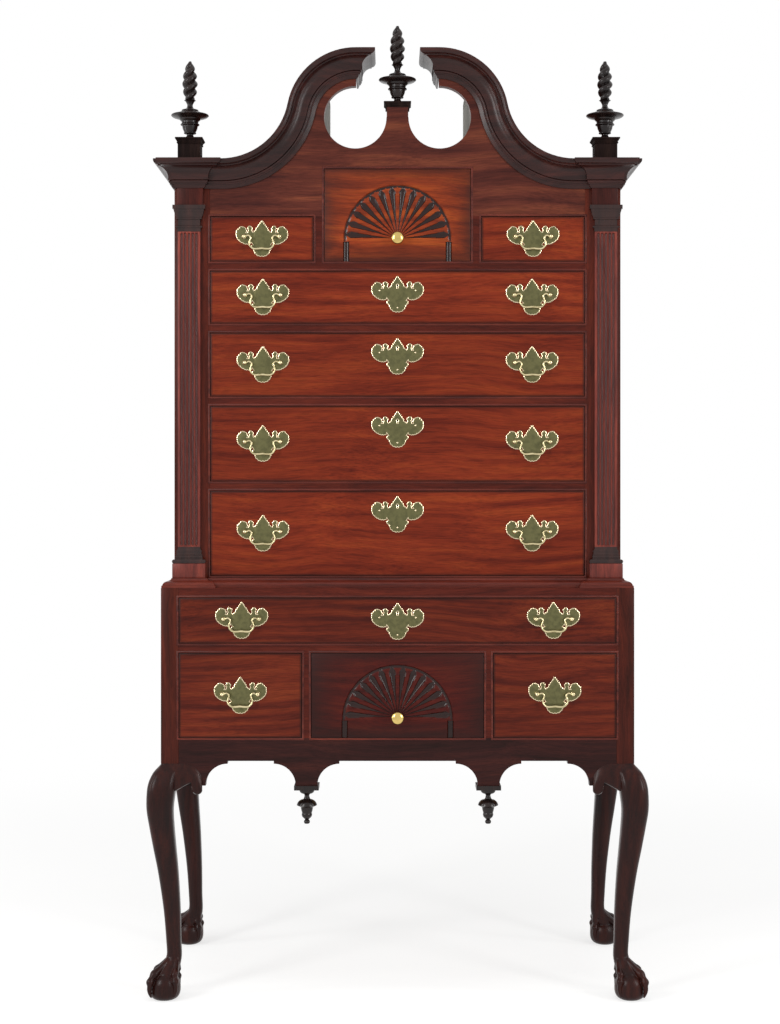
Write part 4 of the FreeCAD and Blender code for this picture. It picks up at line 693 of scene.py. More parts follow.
def plate_outline():
    """The scalloped outline in mm, round the middle of the plate."""
    corners = []
    for start, end in zip(PLATE, PLATE[1:]):
        plain = len(start) > 2
        start, way = Vector(start[:2]), Vector(end[:2]) - Vector(start[:2])
        count = 1 if plain else max(1, round(way.length / SCALLOP))
        for step in range(count):
            spot = tuple(start + way * step / count)
            corners.append(spot if plain else (*spot, way.length / count * SCALLOP_ROUND))
    right = arc_points(corners + [PLATE[-1]], turn=22)
    scale = WING_HALF / max(x for x, z in right)
    return [(x * scale, z) for x, z in right] + [(-x * scale, z) for x, z in reversed(right[1:-1])]


def keyhole(x, z):
    """A round with a slot below it, in mm."""
    line = [(x + 1.1, z - 6.5), (x + 1.1, z - 1.9, 2.2), (x, z + 2.2, 2.2), (x - 1.1, z - 1.9),
            (x - 1.1, z - 6.5)]
    return [tuple(spot) for spot in arc_points(line)]


def plate(holes=()):
    """A plate in the XZ plane with its back at Y = 0: pierced, and bevelled towards its edges."""
    shape = bmesh.new()
    for line in (plate_outline(), *holes):
        spots = [shape.verts.new((x * MM, 0, z * MM)) for x, z in line]
        for pair in zip(spots, spots[1:] + spots[:1]):
            shape.edges.new(pair)
    bmesh.ops.triangle_fill(shape, use_beauty=True, edges=shape.edges, normal=(0, -1, 0))
    made = bmesh.ops.extrude_face_region(shape, geom=list(shape.faces))["geom"]
    lifted = [item for item in made if isinstance(item, bmesh.types.BMVert)]
    bmesh.ops.translate(shape, vec=(0, -PLATE_THICK, 0), verts=lifted)
    bmesh.ops.recalc_face_normals(shape, faces=shape.faces)
    face = [item for item in made if isinstance(item, bmesh.types.BMFace)]
    rim = bmesh.ops.inset_region(shape, faces=face, thickness=EDGE_WIDE, depth=EDGE_FALL,
                                 use_boundary=True, use_even_offset=True)["faces"]
    for item in rim:
        item.material_index = 1
    return shape


print("a plate's outline has", len(plate_outline()), "points")

# %% [markdown]
# ## Posts and bails
#
# A bail is a bent rod whose ends turn inwards into the ball heads of two posts, so that it can swing up
# for the hand.  Its line is easy to give as knots of one half; a ring of points carried along that line
# makes the rod, a little thicker in the middle where the fingers pull.

# %% The outlines of the handles
POST_AT, POST_OUT, BALL = 40.3, 13.0, 5.2
HANDLE_POST = [(0, -24.5), (2.4, -24.5), (2.4, 1.6), (4.9, 1.6), (4.9, 2.3, 1.6), (3.2, 3.8), (2.5, 5),
               (2.5, POST_OUT - 4.56, BALL), (BALL, POST_OUT, BALL), (0, POST_OUT + BALL)]
BAIL = [(36, 0), (32.5, 2.2), (29, 2.2), (25.3, -1.0), (24.6, -5), (27.3, -12.2), (27.8, -17.6),
        (25.0, -23), (18.5, -27.6), (8, -27.8), (0, -27)]
BAIL_END, BAIL_THIN, BAIL_SWELL = 36, 1.75, 0.85


def bail(x, y, z):
    """The hanging rod between its two ball heads."""
    knots = [(-px, pz) for px, pz in BAIL] + [(px, pz) for px, pz in reversed(BAIL[:-1])]
    line = curve_points(knots, 4)
    rings = []
    for index, spot in enumerate(line):
        way = way_at(line, index)
        inward = 1 - abs(spot.x) / BAIL_END
        thick = BAIL_THIN + BAIL_SWELL * inward ** 0.6 if inward > 0 else BAIL_THIN
        centre, out, ahead = Vector((spot.x, 0, spot.y)), Vector((-way.y, 0, way.x)), Vector((0, 1, 0))
        rings.append([Vector((x, y, z)) + MM * (centre + thick * (math.cos(a) * out + math.sin(a) * ahead))
                      for a in swings(12)])
    return skin(rings)


print("a bail spans", 2 * BAIL_END, "mm between posts", 2 * POST_AT, "mm apart")


# %% Handles on a drawer
def fit_handles(brasses, drawer, front, inside):
    """Plates, posts and their nuts, with each bail as a piece of its own."""
    for name, middle in handles_of(drawer):
        put(brasses, plate(), at(middle.x, front, middle.z), coat=None)
        for side in (-1, 1):
            x = middle.x + side * POST_AT * MM
            put(brasses, turned(HANDLE_POST, 20), at(x, front, middle.z, 90, "X"), coat=2)
            put(brasses, plank((x - 6 * MM, inside, middle.z - 6 * MM),
                               (x + 6 * MM, inside + 4 * MM, middle.z + 6 * MM)))
        rod = bmesh.new()
        put(rod, bail(*middle))
        finished(name + "_rod", rod, [bail_brass], name, [name])


KEY_DOWN, KEY_OVER_PLATE = 33, 17       # below the opening's top, above the plate's middle, in mm
NAILS = ((-41, 5), (41, 5), (0, -34))
LOCK_HALF, LOCK_HIGH, LOCK_OVER_KEY, LOCK_THICK = 31 * MM, 45 * MM, 31 * MM, 8 * MM


def fit_lock(brasses, drawer, front, inside):
    """An escutcheon with its keyhole and nails, and the iron lock behind it."""
    key = opening_of(drawer)[1].z - KEY_DOWN * MM
    put(brasses, plate([keyhole(0, KEY_OVER_PLATE)]), at(0, front, key - KEY_OVER_PLATE * MM), coat=None)
    # a thin dark iron disc behind the keyhole: painted shade where the hole through the board would be
    dark = turned([(0, 0), (5.5, 0), (5.5, 0.4), (0, 0.4)], 20)
    put(brasses, dark, at(0, front, key - 2 * MM, 90, "X"), coat=3)
    for px, pz in NAILS:
        nail = turned([(0, 0), (2.2, 0, 2.6), (0, 1.4)], 14)
        put(brasses, nail, at(px * MM, front - 1.7 * MM, key + (pz - KEY_OVER_PLATE) * MM, 90, "X"), coat=1)
    top = key + LOCK_OVER_KEY
    put(brasses, plank((-LOCK_HALF, inside, top - LOCK_HIGH), (LOCK_HALF, inside + LOCK_THICK, top)), coat=3)


print("a lock is", round(2 * LOCK_HALF / MM), "mm wide")

# %% Fit the brasses and the knobs
KNOB = [(0, 0), (9.5, 0), (9.5, 1.6, -4), (5.4, 6.5), (6, 9.5, -5), (10, 12.5, 4), (14.3, 17, 6.5),
        (11, 22, 15), (0, 24)]
for drawer in SMALL + LONG:
    brasses = bmesh.new()
    front = opening_of(drawer)[0].y
    fit_handles(brasses, drawer, front, front + FRONT_THICK)
    if drawer in LONG:
        fit_lock(brasses, drawer, front, front + FRONT_THICK)
    finished(drawer + "_plates", brasses, [face_brass, edge_brass, bail_brass, iron], drawer + "_drawer",
             [drawer + "_drawer_brasses"])
for fan in FANS:
    low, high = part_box(fan + "_drawer_knob")
    knob = bmesh.new()
    put(knob, turned(KNOB, 48), at((low.x + high.x) / 2, high.y, (low.z + high.z) / 2, 90, "X"))
    finished(fan + "_turned_knob", knob, [knob_brass], fan + "_drawer", [fan + "_drawer_knob"])
print("handles and knobs fitted")

# %% [markdown]
# ## Drawers and the beads round their openings
#
# A drawer is a mahogany front with three poplar boards and a poplar bottom behind it, joined by
# dovetails that show on the ends of the front.  Round each opening the maker ran a small half-round
# bead, which hides the gap and catches the light as a thin line.  A bead could be a bevel on the rails;
# a ring of its own is what was really made, and it turns its corners with true mitres.

# %% Fronts, boxes and dovetails
LINING, BOTTOM = 11 * MM, 7 * MM        # thickness of the upright boards and of the bottom
TAIL_PITCH = 34 * MM


def edge_shaded(shape, edge=5 * MM, amount=0.75):
    """A board whose front is darkened along its edges: painted shade for the gap and the bead round the
    drawer.
    """
    painted_shade = shape.verts.layers.float.new("painted_shade")
    face = max(shape.faces, key=lambda item: item.calc_area() * (item.normal.y < -0.9))
    bmesh.ops.inset_region(shape, faces=[face], thickness=edge, use_boundary=True, use_even_offset=True)
    clean = set(face.verts)
    for vert in shape.verts:
        vert[painted_shade] = 0 if vert in clean else amount
    return shape


def tail(x, y, z, thick):
    """A dovetail's end: a keystone that is wider at its tip."""
    rings = []
    for px in (x - thick, x + thick):
        rings.append([(px, y - 13 * MM, z - 9 * MM), (px, y - 13 * MM, z + 9 * MM),
                      (px, y + 1 * MM, z + 6.5 * MM), (px, y + 1 * MM, z - 6.5 * MM)])
    return skin(rings)


def drawer_box(drawer):
    """Poplar sides, back and bottom, with the tails of the sides let into the front."""
    low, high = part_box(drawer + "_drawer_box")
    box = bmesh.new()
    ease = 0.5 * MM
    put(box, plank(low, (low.x + LINING, high.y, high.z), ease))
    put(box, plank((high.x - LINING, low.y, low.z), high, ease))
    put(box, plank((low.x + LINING, high.y - LINING, low.z), (high.x - LINING, high.y, high.z), ease))
    put(box, plank((low.x + LINING, low.y, low.z),
                   (high.x - LINING, high.y - LINING, low.z + BOTTOM), ease))
    count = max(2, round((high.z - low.z) / TAIL_PITCH))
    pitch = (high.z - low.z) / count
    for index in range(count):
        for x, way in ((low.x, 1), (high.x, -1)):
            put(box, tail(x + way * 0.45 * MM, low.y, low.z + pitch * (index + 0.5), 0.55 * MM))
    finished(drawer + "_box", box, [lining_wood], drawer + "_drawer", [drawer + "_drawer_box"])


for drawer in SMALL + LONG:
    low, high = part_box(drawer + "_drawer_front")
    front = bmesh.new()
    front.verts.layers.float.new("painted_shade")
    # the front's edges carry painted shade
    put(front, edge_shaded(plank(low, high, 1.0 * MM)))
    wood = shaded_low_front_wood if drawer.startswith("base") else front_wood
    finished(drawer + "_front", front, [wood], drawer + "_drawer",
             [drawer + "_drawer_front"])
for drawer in DRAWERS:
    drawer_box(drawer)
print("drawers:", len(DRAWERS))

# %% A bead round each opening
BEAD_WIDE, BEAD_PROUD, BEAD_LET_IN = 4.5 * MM, 1.3 * MM, 0.6 * MM


def bead(low, high):
    """A half-round frame on the rails round an opening, as rings from its inner to its outer edge."""
    section = []
    for step in range(9):
        swing = math.pi * step / 8
        section.append((BEAD_WIDE / 2 * (1 - math.cos(swing)), low.y - BEAD_PROUD * math.sin(swing)))
    section += [(BEAD_WIDE, low.y + BEAD_LET_IN), (0, low.y + BEAD_LET_IN)]
    return skin([[(low.x - out, y, low.z - out), (high.x + out, y, low.z - out),
                  (high.x + out, y, high.z + out), (low.x - out, y, high.z + out)]
                 for out, y in section], ends=False)


for case, names in (("lower", ["base_long", "base_left", "base_right", "lower_fan"]),
                    ("upper", SMALL[:2] + LONG[:4] + ["upper_fan"])):
    beads = bmesh.new()
    for drawer in names:
        put(beads, bead(*opening_of(drawer)))
    finished(case + "_beads", beads, [bead_wood], "case", crease=50)
print("beads round", len(DRAWERS), "openings")

# %% [markdown]
# ## Bowed legs with ball and claw feet
#
# A cabriole leg is sawn from one thick plank to a double curve and then carved: a full knee, a thin
# ankle, and four talons that run down over a ball.  Subdivision modelling would do it too, but where
# the toes leave the ankle the mesh gets hard to plan.  Here the leg, ball and talons are closed skins
# pushed into each other, as a carver finds them inside one block, and a voxel remesh makes them one
# surface whose creases are then softened.

# %% The leg's sections
POST_WIDE = 40
LEG_TOP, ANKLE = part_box("knee_blocks")[1].z / MM, 70
LEG = [
    # share of the way down, step back from the post's outer faces, half width, corner radius
    (0.0, 20.0, 19.4, 6.0), (0.007, 18.8, 20.6, 8.0), (0.022, 15.3, 23.5, 11.0), (0.039, 10.8, 26.6, 13.5),
    (0.061, 7.1, 28.6, 16.0), (0.0915, 3.7, 30.8, 18.5), (0.135, 1.2, 31.6, 20.0),
    (0.218, -1.2, 29.8, 20.5), (0.306, 2.4, 27.7, 19.5), (0.415, 8.4, 25.3, 17.5),
    (0.546, 15.9, 22.4, 16.0), (0.721, 23.0, 19.0, 14.0), (0.873, 26.2, 16.9, 13.0),
    (0.952, 27.2, 17.1, 13.0), (1.0, 20.0, 21.0, 14.0)]
BALL_STEP, BALL_RADIUS, BALL_HIGH = 8.0, 36.0, 28.0


def leg_ring(step, half, corner, z):
    """A rounded square round the leg's middle line, in mm from the post's outer corner."""
    ring = []
    for index in range(40):
        quarter, share = divmod(index, 10)
        swing = math.radians(90 * quarter + 10 * share)
        mid_x, mid_y = ((1, 1), (-1, 1), (-1, -1), (1, -1))[quarter]
        ring.append(Vector((step + mid_x * (half - corner) + corner * math.cos(swing),
                            step + mid_y * (half - corner) + corner * math.sin(swing), z)))
    return ring


def bowed_leg():
    """The leg from inside its post down to the ankle."""
    rings = [leg_ring(20.0, 19.4, 5.0, LEG_TOP + 6)]
    for share, step, half, corner in curve_points(LEG, 4):
        rings.append(leg_ring(step, half, corner, LEG_TOP - (LEG_TOP - ANKLE) * share))
    return skin(rings)


def ball():
    """The ball: a sphere above its widest line, squarer and flat-footed below it."""
    outline = [(0, 0)]
    for z in list(range(0, 64, 3)) + [63.5]:
        low = z < BALL_HIGH
        power, reach = (3.0, 30.5) if low else (2.0, BALL_RADIUS)
        outline.append((BALL_RADIUS * (1 - (abs(z - BALL_HIGH) / reach) ** power) ** (1 / power), z))
    return turned(outline + [(0, BALL_HIGH + BALL_RADIUS)], 48)


print("leg from", round(LEG_TOP), "to", ANKLE, "mm")

# %% Talons
TALON = [
    # height, share of the way back to the ankle's middle line, distance out over the ball, thickness
    (108, 1.0, 8.0, 5.0), (92, 0.96, 10.5, 6.0), (79, 0.72, 17.0, 7.0), (68, 0.42, 25.0, 7.6),
    (60, 0.16, 30.5, 9.8), (52, 0.04, 34.5, 6.4), (44, 0.0, 37.6, 8.8), (36, 0.0, 38.6, 5.8),
    (26, 0.0, 39.4, 5.0), (16, 0.0, 37.2, 3.4), (8, 0.0, 33.2, 1.6)]
WEB = [
    # height, share of the way back to the ankle's middle line, radius
    (98, 0.98, 15.5), (86, 0.88, 17.0), (76, 0.66, 20.5), (67, 0.42, 24.0), (59, 0.22, 26.0),
    (53, 0.12, 26.5)]
ANKLE_IN = 19.0     # the ankle's middle line is this far inside the ball's, in X and in Y


def swept(line, thick, side):
    """A limb along a line of points, with its thickness at each and a level direction across it."""
    rings = []
    for index, spot in enumerate(line):
        up = way_at(line, index).cross(side).normalized()
        rings.append([spot + thick[index] * (math.cos(a) * side + math.sin(a) * up)
                      for a in swings(14)])
    return skin(rings)


def foot():
    """Ball, web and four talons round the ball's own axis, in mm."""
    shape = bmesh.new()
    put(shape, ball(), Matrix.Diagonal((1000, 1000, 1000, 1)))
    back = Vector((ANKLE_IN, ANKLE_IN, 0))
    put(shape, skin([[back * share + Vector((radius * math.cos(a), radius * math.sin(a), z))
                      for a in swings(32)] for z, share, radius in WEB]))
    knots = curve_points(TALON, 5)
    for turn in (45, 135, 225, 315):
        way = Vector((math.cos(math.radians(turn)), math.sin(math.radians(turn)), 0))
        reach = 4.5 if turn == 225 else 0       # the talon at the outer corner stands out further
        line = [back * share + Vector((0, 0, z)) + way * (out + reach * (1 - share) * min(1, (110 - z) / 60))
                for z, share, out, thick in knots]
        put(shape, swept(line, [thick for z, share, out, thick in knots], way.cross(Vector((0, 0, 1)))))
    return shape


print("talons run down from", TALON[0][0], "mm")


# %% One surface out of the leg, the ball and the talons
def softened(shape, verts, rounds):
    """Creases rubbed down, as with a scraper."""
    for _ in range(rounds):
        bmesh.ops.smooth_vert(shape, verts=verts, factor=0.5, use_axis_x=True, use_axis_y=True,
                              use_axis_z=True)


TALONS_TOP = 115    # above this the leg has no carving and is rubbed down further
carving = bmesh.new()
put(carving, bowed_leg())
put(carving, foot(), Matrix.Translation((BALL_STEP, BALL_STEP, 0)))
carving = worked(carving, "REMESH", mode="VOXEL", voxel_size=1.4)     # grains of 1.4 mm
softened(carving, carving.verts, 2)
softened(carving, [vert for vert in carving.verts if vert.co.z > TALONS_TOP], 8)
for vert in carving.verts:
    vert.co.z = max(vert.co.z, 0.0)
carved_leg = mesh_of(carving, "carved_leg")
print("a leg has", len(carved_leg.polygons), "faces")

# %% Four legs on their posts
lower_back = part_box("upper_case_panels")[1].y
for word_y, side_y in (("front", -1), ("back", 1)):
    for word_x, side_x in SIDES:
        corner = Vector((side_x * post_half, side_y * lower_back, 0))
        leg = bmesh.new()
        leg.from_mesh(carved_leg)
        turn = Matrix.Translation(corner) @ Matrix.Diagonal((-side_x * MM, -side_y * MM, MM, 1))
        bmesh.ops.transform(leg, matrix=turn, verts=leg.verts)
        bmesh.ops.recalc_face_normals(leg, faces=leg.faces)
        inner = corner - Vector((side_x, side_y, 0)) * POST_WIDE * MM
        low = Vector((min(corner.x, inner.x), min(corner.y, inner.y), LEG_TOP * MM))
        high = Vector((max(corner.x, inner.x), max(corner.y, inner.y), lower_top))
        put(leg, plank(low, high, 1.0 * MM), coat=1)
        finished(f"{word_y}_{word_x}_leg", leg, [leg_wood, post_wood], "case",
                 ["cabriole_legs"], crease=50)
bpy.data.meshes.remove(carved_leg)
print("legs and posts stand")

# %% Knee blocks
EAR_START, EAR_END, EAR_DEEP = -9, 53.5, -62
EAR_SECTIONS = (-9, -5, -1, 3, 8, 13, 18, 23, 27, 29.5, 31, 32.5, 35, 39, 43, 47, 50, 52, 53, 53.5)


def ear():
    """A bracket beside a knee: X runs away from the leg, Y = 0 is the board that it is glued to.

    Its top is a quarter of an ellipse, and its foot a rising curve that ends in a small round lobe.
    """
    rings = []
    for x in EAR_SECTIONS:
        away = max(0, x - 8) / (EAR_END - 8)
        top = -40 * (1 - math.sqrt(1 - away ** 2))
        if x < 30:
            rise = -1 + 7 * math.sin(math.pi * min(1, (x - EAR_START) / 60))
            low = EAR_DEEP + 13.5 * ((x - EAR_START) / 38) ** 1.4 + rise
        else:
            low = -58 - math.sqrt(max(0, 132 - (x - 42.5) ** 2))
        thick = 8 + 8 * (1 - (x - EAR_START) / (EAR_END - EAR_START))
        ring = [Vector((x, 0, low))]
        for step in range(15):
            z = low + (top - low) * (1 - math.cos(math.pi * step / 14)) / 2
            foot_round = math.sqrt(1 - (1 - min(1, (z - low) / 5)) ** 2)
            roll = 1 - (1 - min(1, (top - z) / 38)) ** 2
            ring.append(Vector((x, -0.3 - thick * foot_round * roll, z)))
        rings.append(ring + [Vector((x, 0, top))])
    return skin(rings)


blocks = bmesh.new()
inner_post = post_half - POST_WIDE * MM
for side_x in (-1, 1):
    place = Matrix.Translation((side_x * inner_post, lower_front, LEG_TOP * MM))
    put(blocks, ear(), place @ Matrix.Diagonal((-side_x * MM, MM, MM, 1)))
    for side_y in (-1, 1):
        start = Vector((side_x * (post_half - 2 * MM), side_y * (lower_back - POST_WIDE * MM),
                        LEG_TOP * MM))
        swing = Matrix.Rotation(math.radians(90 * side_x), 4, "Z")
        flip = Matrix.Diagonal((-side_y * side_x * MM, MM, MM, 1))
        put(blocks, ear(), Matrix.Translation(start) @ swing @ flip)
finished("knee_ears", blocks, [leg_wood], "case", ["knee_blocks"], crease=40)
print("knee blocks glued on")

# %% [markdown]
# ## Carved fans
#
# Each fan is carved into its drawer front: gouged hollows run from the knob to spoon-shaped ends, and
# between them rounded rays are left standing just below the board's face.  A bump map could fake the
# hollows, but a raking light would give it away.  A grid spun round the knob is pushed to the carver's
# depths, closed into a solid, and cut out of the board, so the rim stays as crisp as a knife leaves it.

# %% How deep the carver went
HOLLOWS = 14
CUT_FROM, CUT_TO = 14, 32       # a hollow starts this far from the knob, is full this far from the rim
CUT_HALF, CUT_DEEP = (0.9, 7.1), (1.7, 3.2)     # half width and depth at the start, and what they gain
TIP, POINT = 18, 12             # the pointed end starts this far from the rim and is this long


def fan_depth(reach, swing, radius, first):
    """Depth in mm at a distance from the knob's axis and an angle above the level."""
    pitch = (math.pi - 2 * first) / (HOLLOWS - 1)
    near = min(range(HOLLOWS), key=lambda k: abs(swing - (k * pitch + first)))
    off = swing - (near * pitch + first)
    along, across = reach * math.cos(off), abs(reach * math.sin(off))
    grown = min(1.0, max(0.0, (along - CUT_FROM) / (radius - CUT_TO)))
    half, deep = CUT_HALF[0] + CUT_HALF[1] * grown ** 1.5, CUT_DEEP[0] + CUT_DEEP[1] * grown
    if along > radius - TIP:
        pointed = (along - radius + TIP) / POINT
        half *= max(0.0, 1 - pointed ** 1.7)
        deep *= 1 - 0.35 * min(1.0, pointed)
    gouge = 1 - (across / half) ** 2 if half > 0.05 else -1
    middle = min(1.0, abs(off) / (pitch / 2))
    ray = 0.7 + 1.1 * (1 - middle) ** 2
    ray += 2.2 * min(1.0, max(0.0, (reach - radius + 9) / 4))
    if gouge > 0:
        ray = max(ray, deep * math.sqrt(gouge) + 0.5)
    return min(ray, 0.3 + 1.3 * (radius - reach))


print("a ray lies", round(fan_depth(80, math.pi / 2, 123, 0.08), 2), "mm deep")

# %% The waste of a fan as a solid
RINGS, KNOB_ROOM = 44, 9.0      # steps from the knob's room out to the rim


def fan_cutter(radius, first, foot, drop):
    """The waste of one fan as a solid: a spun grid pushed to depth, closed in front of the board.

    The fan ends on a level line foot mm below the knob; its rim is drawn from drop mm below the knob.
    """
    shape = bmesh.new()
    under = math.asin(foot / radius)
    spots = []
    for step in range(RINGS + 1):
        reach = KNOB_ROOM + (radius - KNOB_ROOM) * step / RINGS
        spots.append(shape.verts.new((reach * math.cos(under), 0, -reach * math.sin(under))))
    edges = [shape.edges.new(pair) for pair in zip(spots, spots[1:])]
    bmesh.ops.spin(shape, geom=spots + edges, cent=(0, 0, 0), axis=(0, -1, 0), angle=math.pi + 2 * under,
                   steps=HOLLOWS * 17, use_merge=False)
    bmesh.ops.remove_doubles(shape, verts=shape.verts, dist=0.001)
    for vert in shape.verts:
        reach, swing = math.hypot(vert.co.x, vert.co.z), math.atan2(vert.co.z, vert.co.x)
        swing += 2 * math.pi if swing < -math.pi / 2 else 0
        above = min(max(swing, 0.0), math.pi)
        rim = math.sqrt(radius ** 2 - (drop * math.cos(above)) ** 2) - drop * math.sin(above)
        reach *= rim / radius
        level = foot * abs(swing - above) / under
        vert.co = (reach * math.cos(above), fan_depth(reach, swing, rim, first),
                   reach * math.sin(above) - level)
    border = [edge for edge in shape.edges if len(edge.link_faces) == 1]
    made = bmesh.ops.extrude_edge_only(shape, edges=border)["geom"]
    for item in made:
        if isinstance(item, bmesh.types.BMVert):
            item.co.y = -2
    rim = [item for item in made if isinstance(item, bmesh.types.BMEdge) and len(item.link_faces) == 1]
    bmesh.ops.edgeloop_fill(shape, edges=rim)
    return shape


print("a fan is cut on", (RINGS + 1) * (HOLLOWS * 17 + 1), "points")

# %% Cut the fans out of their boards
STRIP, COVE_RADIUS, COVE_PROUD = 14, 8.0, 2.8     # the cove's centre lies in front of the board


def fan_board(fan, radius, rise, first, foot, drop, wood):
    """A drawer front less its fan and the coved strip below each end of the fan."""
    low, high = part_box(fan + "_drawer_front")
    board = plank(low, high, 1.0 * MM)
    centre = Vector((0, low.y, low.z - LIFT + rise * MM))
    waste = fan_cutter(radius, first, foot, drop)
    bmesh.ops.transform(waste, matrix=Matrix.Translation(centre) @ GROW_MM, verts=waste.verts)
    board = cut_out(board, waste)
    coves = bmesh.new()
    top = rise - foot - 0.6
    for side in (-1, 1):
        rod = turned([(0, -20), (COVE_RADIUS, -20), (COVE_RADIUS, top), (0, top)], 32)
        put(coves, rod, at(side * (radius - STRIP / 2) * MM, low.y - COVE_PROUD * MM, low.z - LIFT))
    board = cut_out(board, coves)
    # painted shade: darker with depth in the hollows and coves, and darker along the board's edges
    painted_shade = board.verts.layers.float.new("painted_shade")
    for vert in board.verts:
        depth = (vert.co.y - low.y) / MM
        edge = min(vert.co.x - low.x, high.x - vert.co.x, vert.co.z - low.z, high.z - vert.co.z) / MM
        if edge < 1.5:
            vert[painted_shade] = 0.7
        elif depth < 8:
            vert[painted_shade] = min(0.6, max(0.0, (depth - 1.6) / 3))
    # faces deep in the hollows take the darker copy of the wood: painted shade
    for face in board.faces:
        middle = face.calc_center_median()
        depth = (middle.y - low.y) / MM
        face.material_index = 1 if 2.1 < depth < 8 and abs(middle.x) < (radius + 2) * MM else 0
    piece = bmesh.new()
    piece.verts.layers.float.new("painted_shade")
    put(piece, board, coat=None)
    finished(fan + "_carved_front", piece, [wood, shaded_hollow_wood], fan + "_drawer",
             [fan + "_drawer_front"], crease=38)


# radius, the knob's rise above the drawer's foot, the angle of the first hollow, foot and drop
fan_board("upper_fan", 123.5, 52, 0.083, 6.5, 0.0, fan_wood)
fan_board("lower_fan", 126, 47, 0.05, 7.0, 7.0, shaded_lower_fan_wood)
print("fans carved")

# %% [markdown]
# ## Fluted pilasters
#
# On each corner of the upper case a flat column stands on a plinth, with a moulded base, five flutes
# with rounded ends, and a moulded capital under a frieze block.  The mouldings run round the front and
# both sides: a rectangle that is extruded up and widened by the moulding's profile makes them with true
# mitres.  The flutes are cut with round-ended rods, which is how a carver's gouge leaves them.

# %% Mouldings round a block
def round_block(middle, half, front, profile, depth_share=1.0, back=None):
    """A moulded member: a rectangle that follows (reach, height) corners in mm as it rises."""
    rings = []
    for reach, z in arc_points(profile, 15):
        out, ahead = half + reach * MM, front - reach * MM * depth_share
        behind = back if back is not None else 2 * middle.y - ahead
        z = middle.z + z * MM
        rings.append([Vector((middle.x - out, ahead, z)), Vector((middle.x + out, ahead, z)),
                      Vector((middle.x + out, behind, z)), Vector((middle.x - out, behind, z))])
    return skin(rings)


BASE = [(9.2, 0, 4.7), (9.2, 9), (5.5, 9), (5.5, 12), (3.2, 12, 3.6), (3.2, 18.6), (4.5, 19.6),
        (4.5, 20.6, -3.4), (3.5, 26.4), (3.5, 29), (2.6, 29, -10), (0, 38)]
CAPITAL = [(0.8, 0), (0.8, 8.5), (3.4, 8.5, 2.2), (3.4, 12.5), (-0.4, 13.5), (-0.4, 27.5), (3.6, 28),
           (3.6, 31), (2.2, 31.5, 18), (7.5, 45), (8.5, 45), (8.5, 51), (11.5, 51), (11.5, 60)]
PILASTER_AT = case_half - 34 * MM
SHAFT_HALF, SHAFT_THICK = 25.5 * MM, 9 * MM
FLUTE, FLUTE_PITCH = 3.5, 8.4
PLINTH_HALF, PLINTH_THICK = 37.5 * MM, 15 * MM
GLUED = 0.5 * MM        # how far a piece on the front is let into the board behind it
PLINTH_HIGH = waist_top + 33 * MM
BASE_HIGH = PLINTH_HIGH + 38 * MM
CAPITAL_HIGH = cornice_top - 100 * MM
CAPITAL_LOW = CAPITAL_HIGH - 60 * MM
opening_half = opening_of("first_long")[1].x
print("shaft", round((CAPITAL_LOW - BASE_HIGH) / MM), "mm tall")


# %% Shafts with flutes
def fluted_shaft(x):
    """A flat shaft with five round-ended flutes."""
    low = (x - SHAFT_HALF, upper_front - SHAFT_THICK, BASE_HIGH - 1 * MM)
    high = (x + SHAFT_HALF, upper_front + 1 * MM, CAPITAL_LOW + 1 * MM)
    run = (CAPITAL_LOW - BASE_HIGH) / 2 / MM - 6
    flutes = bmesh.new()
    for index in range(5):
        gouge = turned([(0, -run - FLUTE, FLUTE), (FLUTE, -run), (FLUTE, run, FLUTE), (0, run + FLUTE)],
                       24)
        put(flutes, gouge, at(x + (index - 2) * FLUTE_PITCH * MM, upper_front - SHAFT_THICK - 0.2 * MM,
                              (BASE_HIGH + CAPITAL_LOW) / 2))
    shaft = cut_out(plank(low, high, 0.5 * MM), flutes)
    # painted shade: the flutes darken with their depth
    painted_shade = shaft.verts.layers.float.new("painted_shade")
    for vert in shaft.verts:
        depth = (vert.co.y - upper_front + SHAFT_THICK) / MM
        vert[painted_shade] = 0.0 if depth < 0.7 else min(0.6, (depth - 0.7) / 4.0)
    return shaft


def across(side, start, end):
    """The lower and the higher X of two distances from the middle, on one side of the chest."""
    return sorted((side * start, side * end))


for word, side in SIDES:
    x = PILASTER_AT * side
    pilaster = bmesh.new()
    pilaster.verts.layers.float.new("painted_shade")
    inner, outer = across(side, opening_half, case_half)
    put(pilaster, plank((inner, upper_front, lower_top), (outer, upper_front + FRONT_THICK, cornice_top),
                        0.8 * MM))
    put(pilaster, plank((x - PLINTH_HALF, upper_front - PLINTH_THICK, waist_top),
                        (x + PLINTH_HALF, upper_front + GLUED, PLINTH_HIGH), 0.8 * MM), coat=1)
    inner, outer = across(side, PILASTER_AT - PLINTH_HALF, case_half)
    put(pilaster, plank((inner, upper_front - PLINTH_THICK, lower_top),
                        (outer, upper_front + GLUED, waist_top), 0))
    inner, outer = across(side, case_half - 66 * MM, case_half - 7.5 * MM)
    put(pilaster, plank((inner, upper_front - 12 * MM, CAPITAL_HIGH),
                        (outer, upper_front + GLUED, cornice_top), 0.5 * MM), coat=2)
    put(pilaster, fluted_shaft(x), coat=1)
    for z, profile in ((PLINTH_HIGH, BASE), (CAPITAL_LOW, CAPITAL)):
        put(pilaster, round_block(Vector((x, upper_front, z)), SHAFT_HALF, upper_front - SHAFT_THICK,
                                  profile, 0.5, upper_front + GLUED), coat=3)
    finished(word + "_pilaster", pilaster, [stile_wood, shaft_wood, frieze_wood, capital_wood], "case",
             ["pilasters"], crease=30)
print("pilasters up")

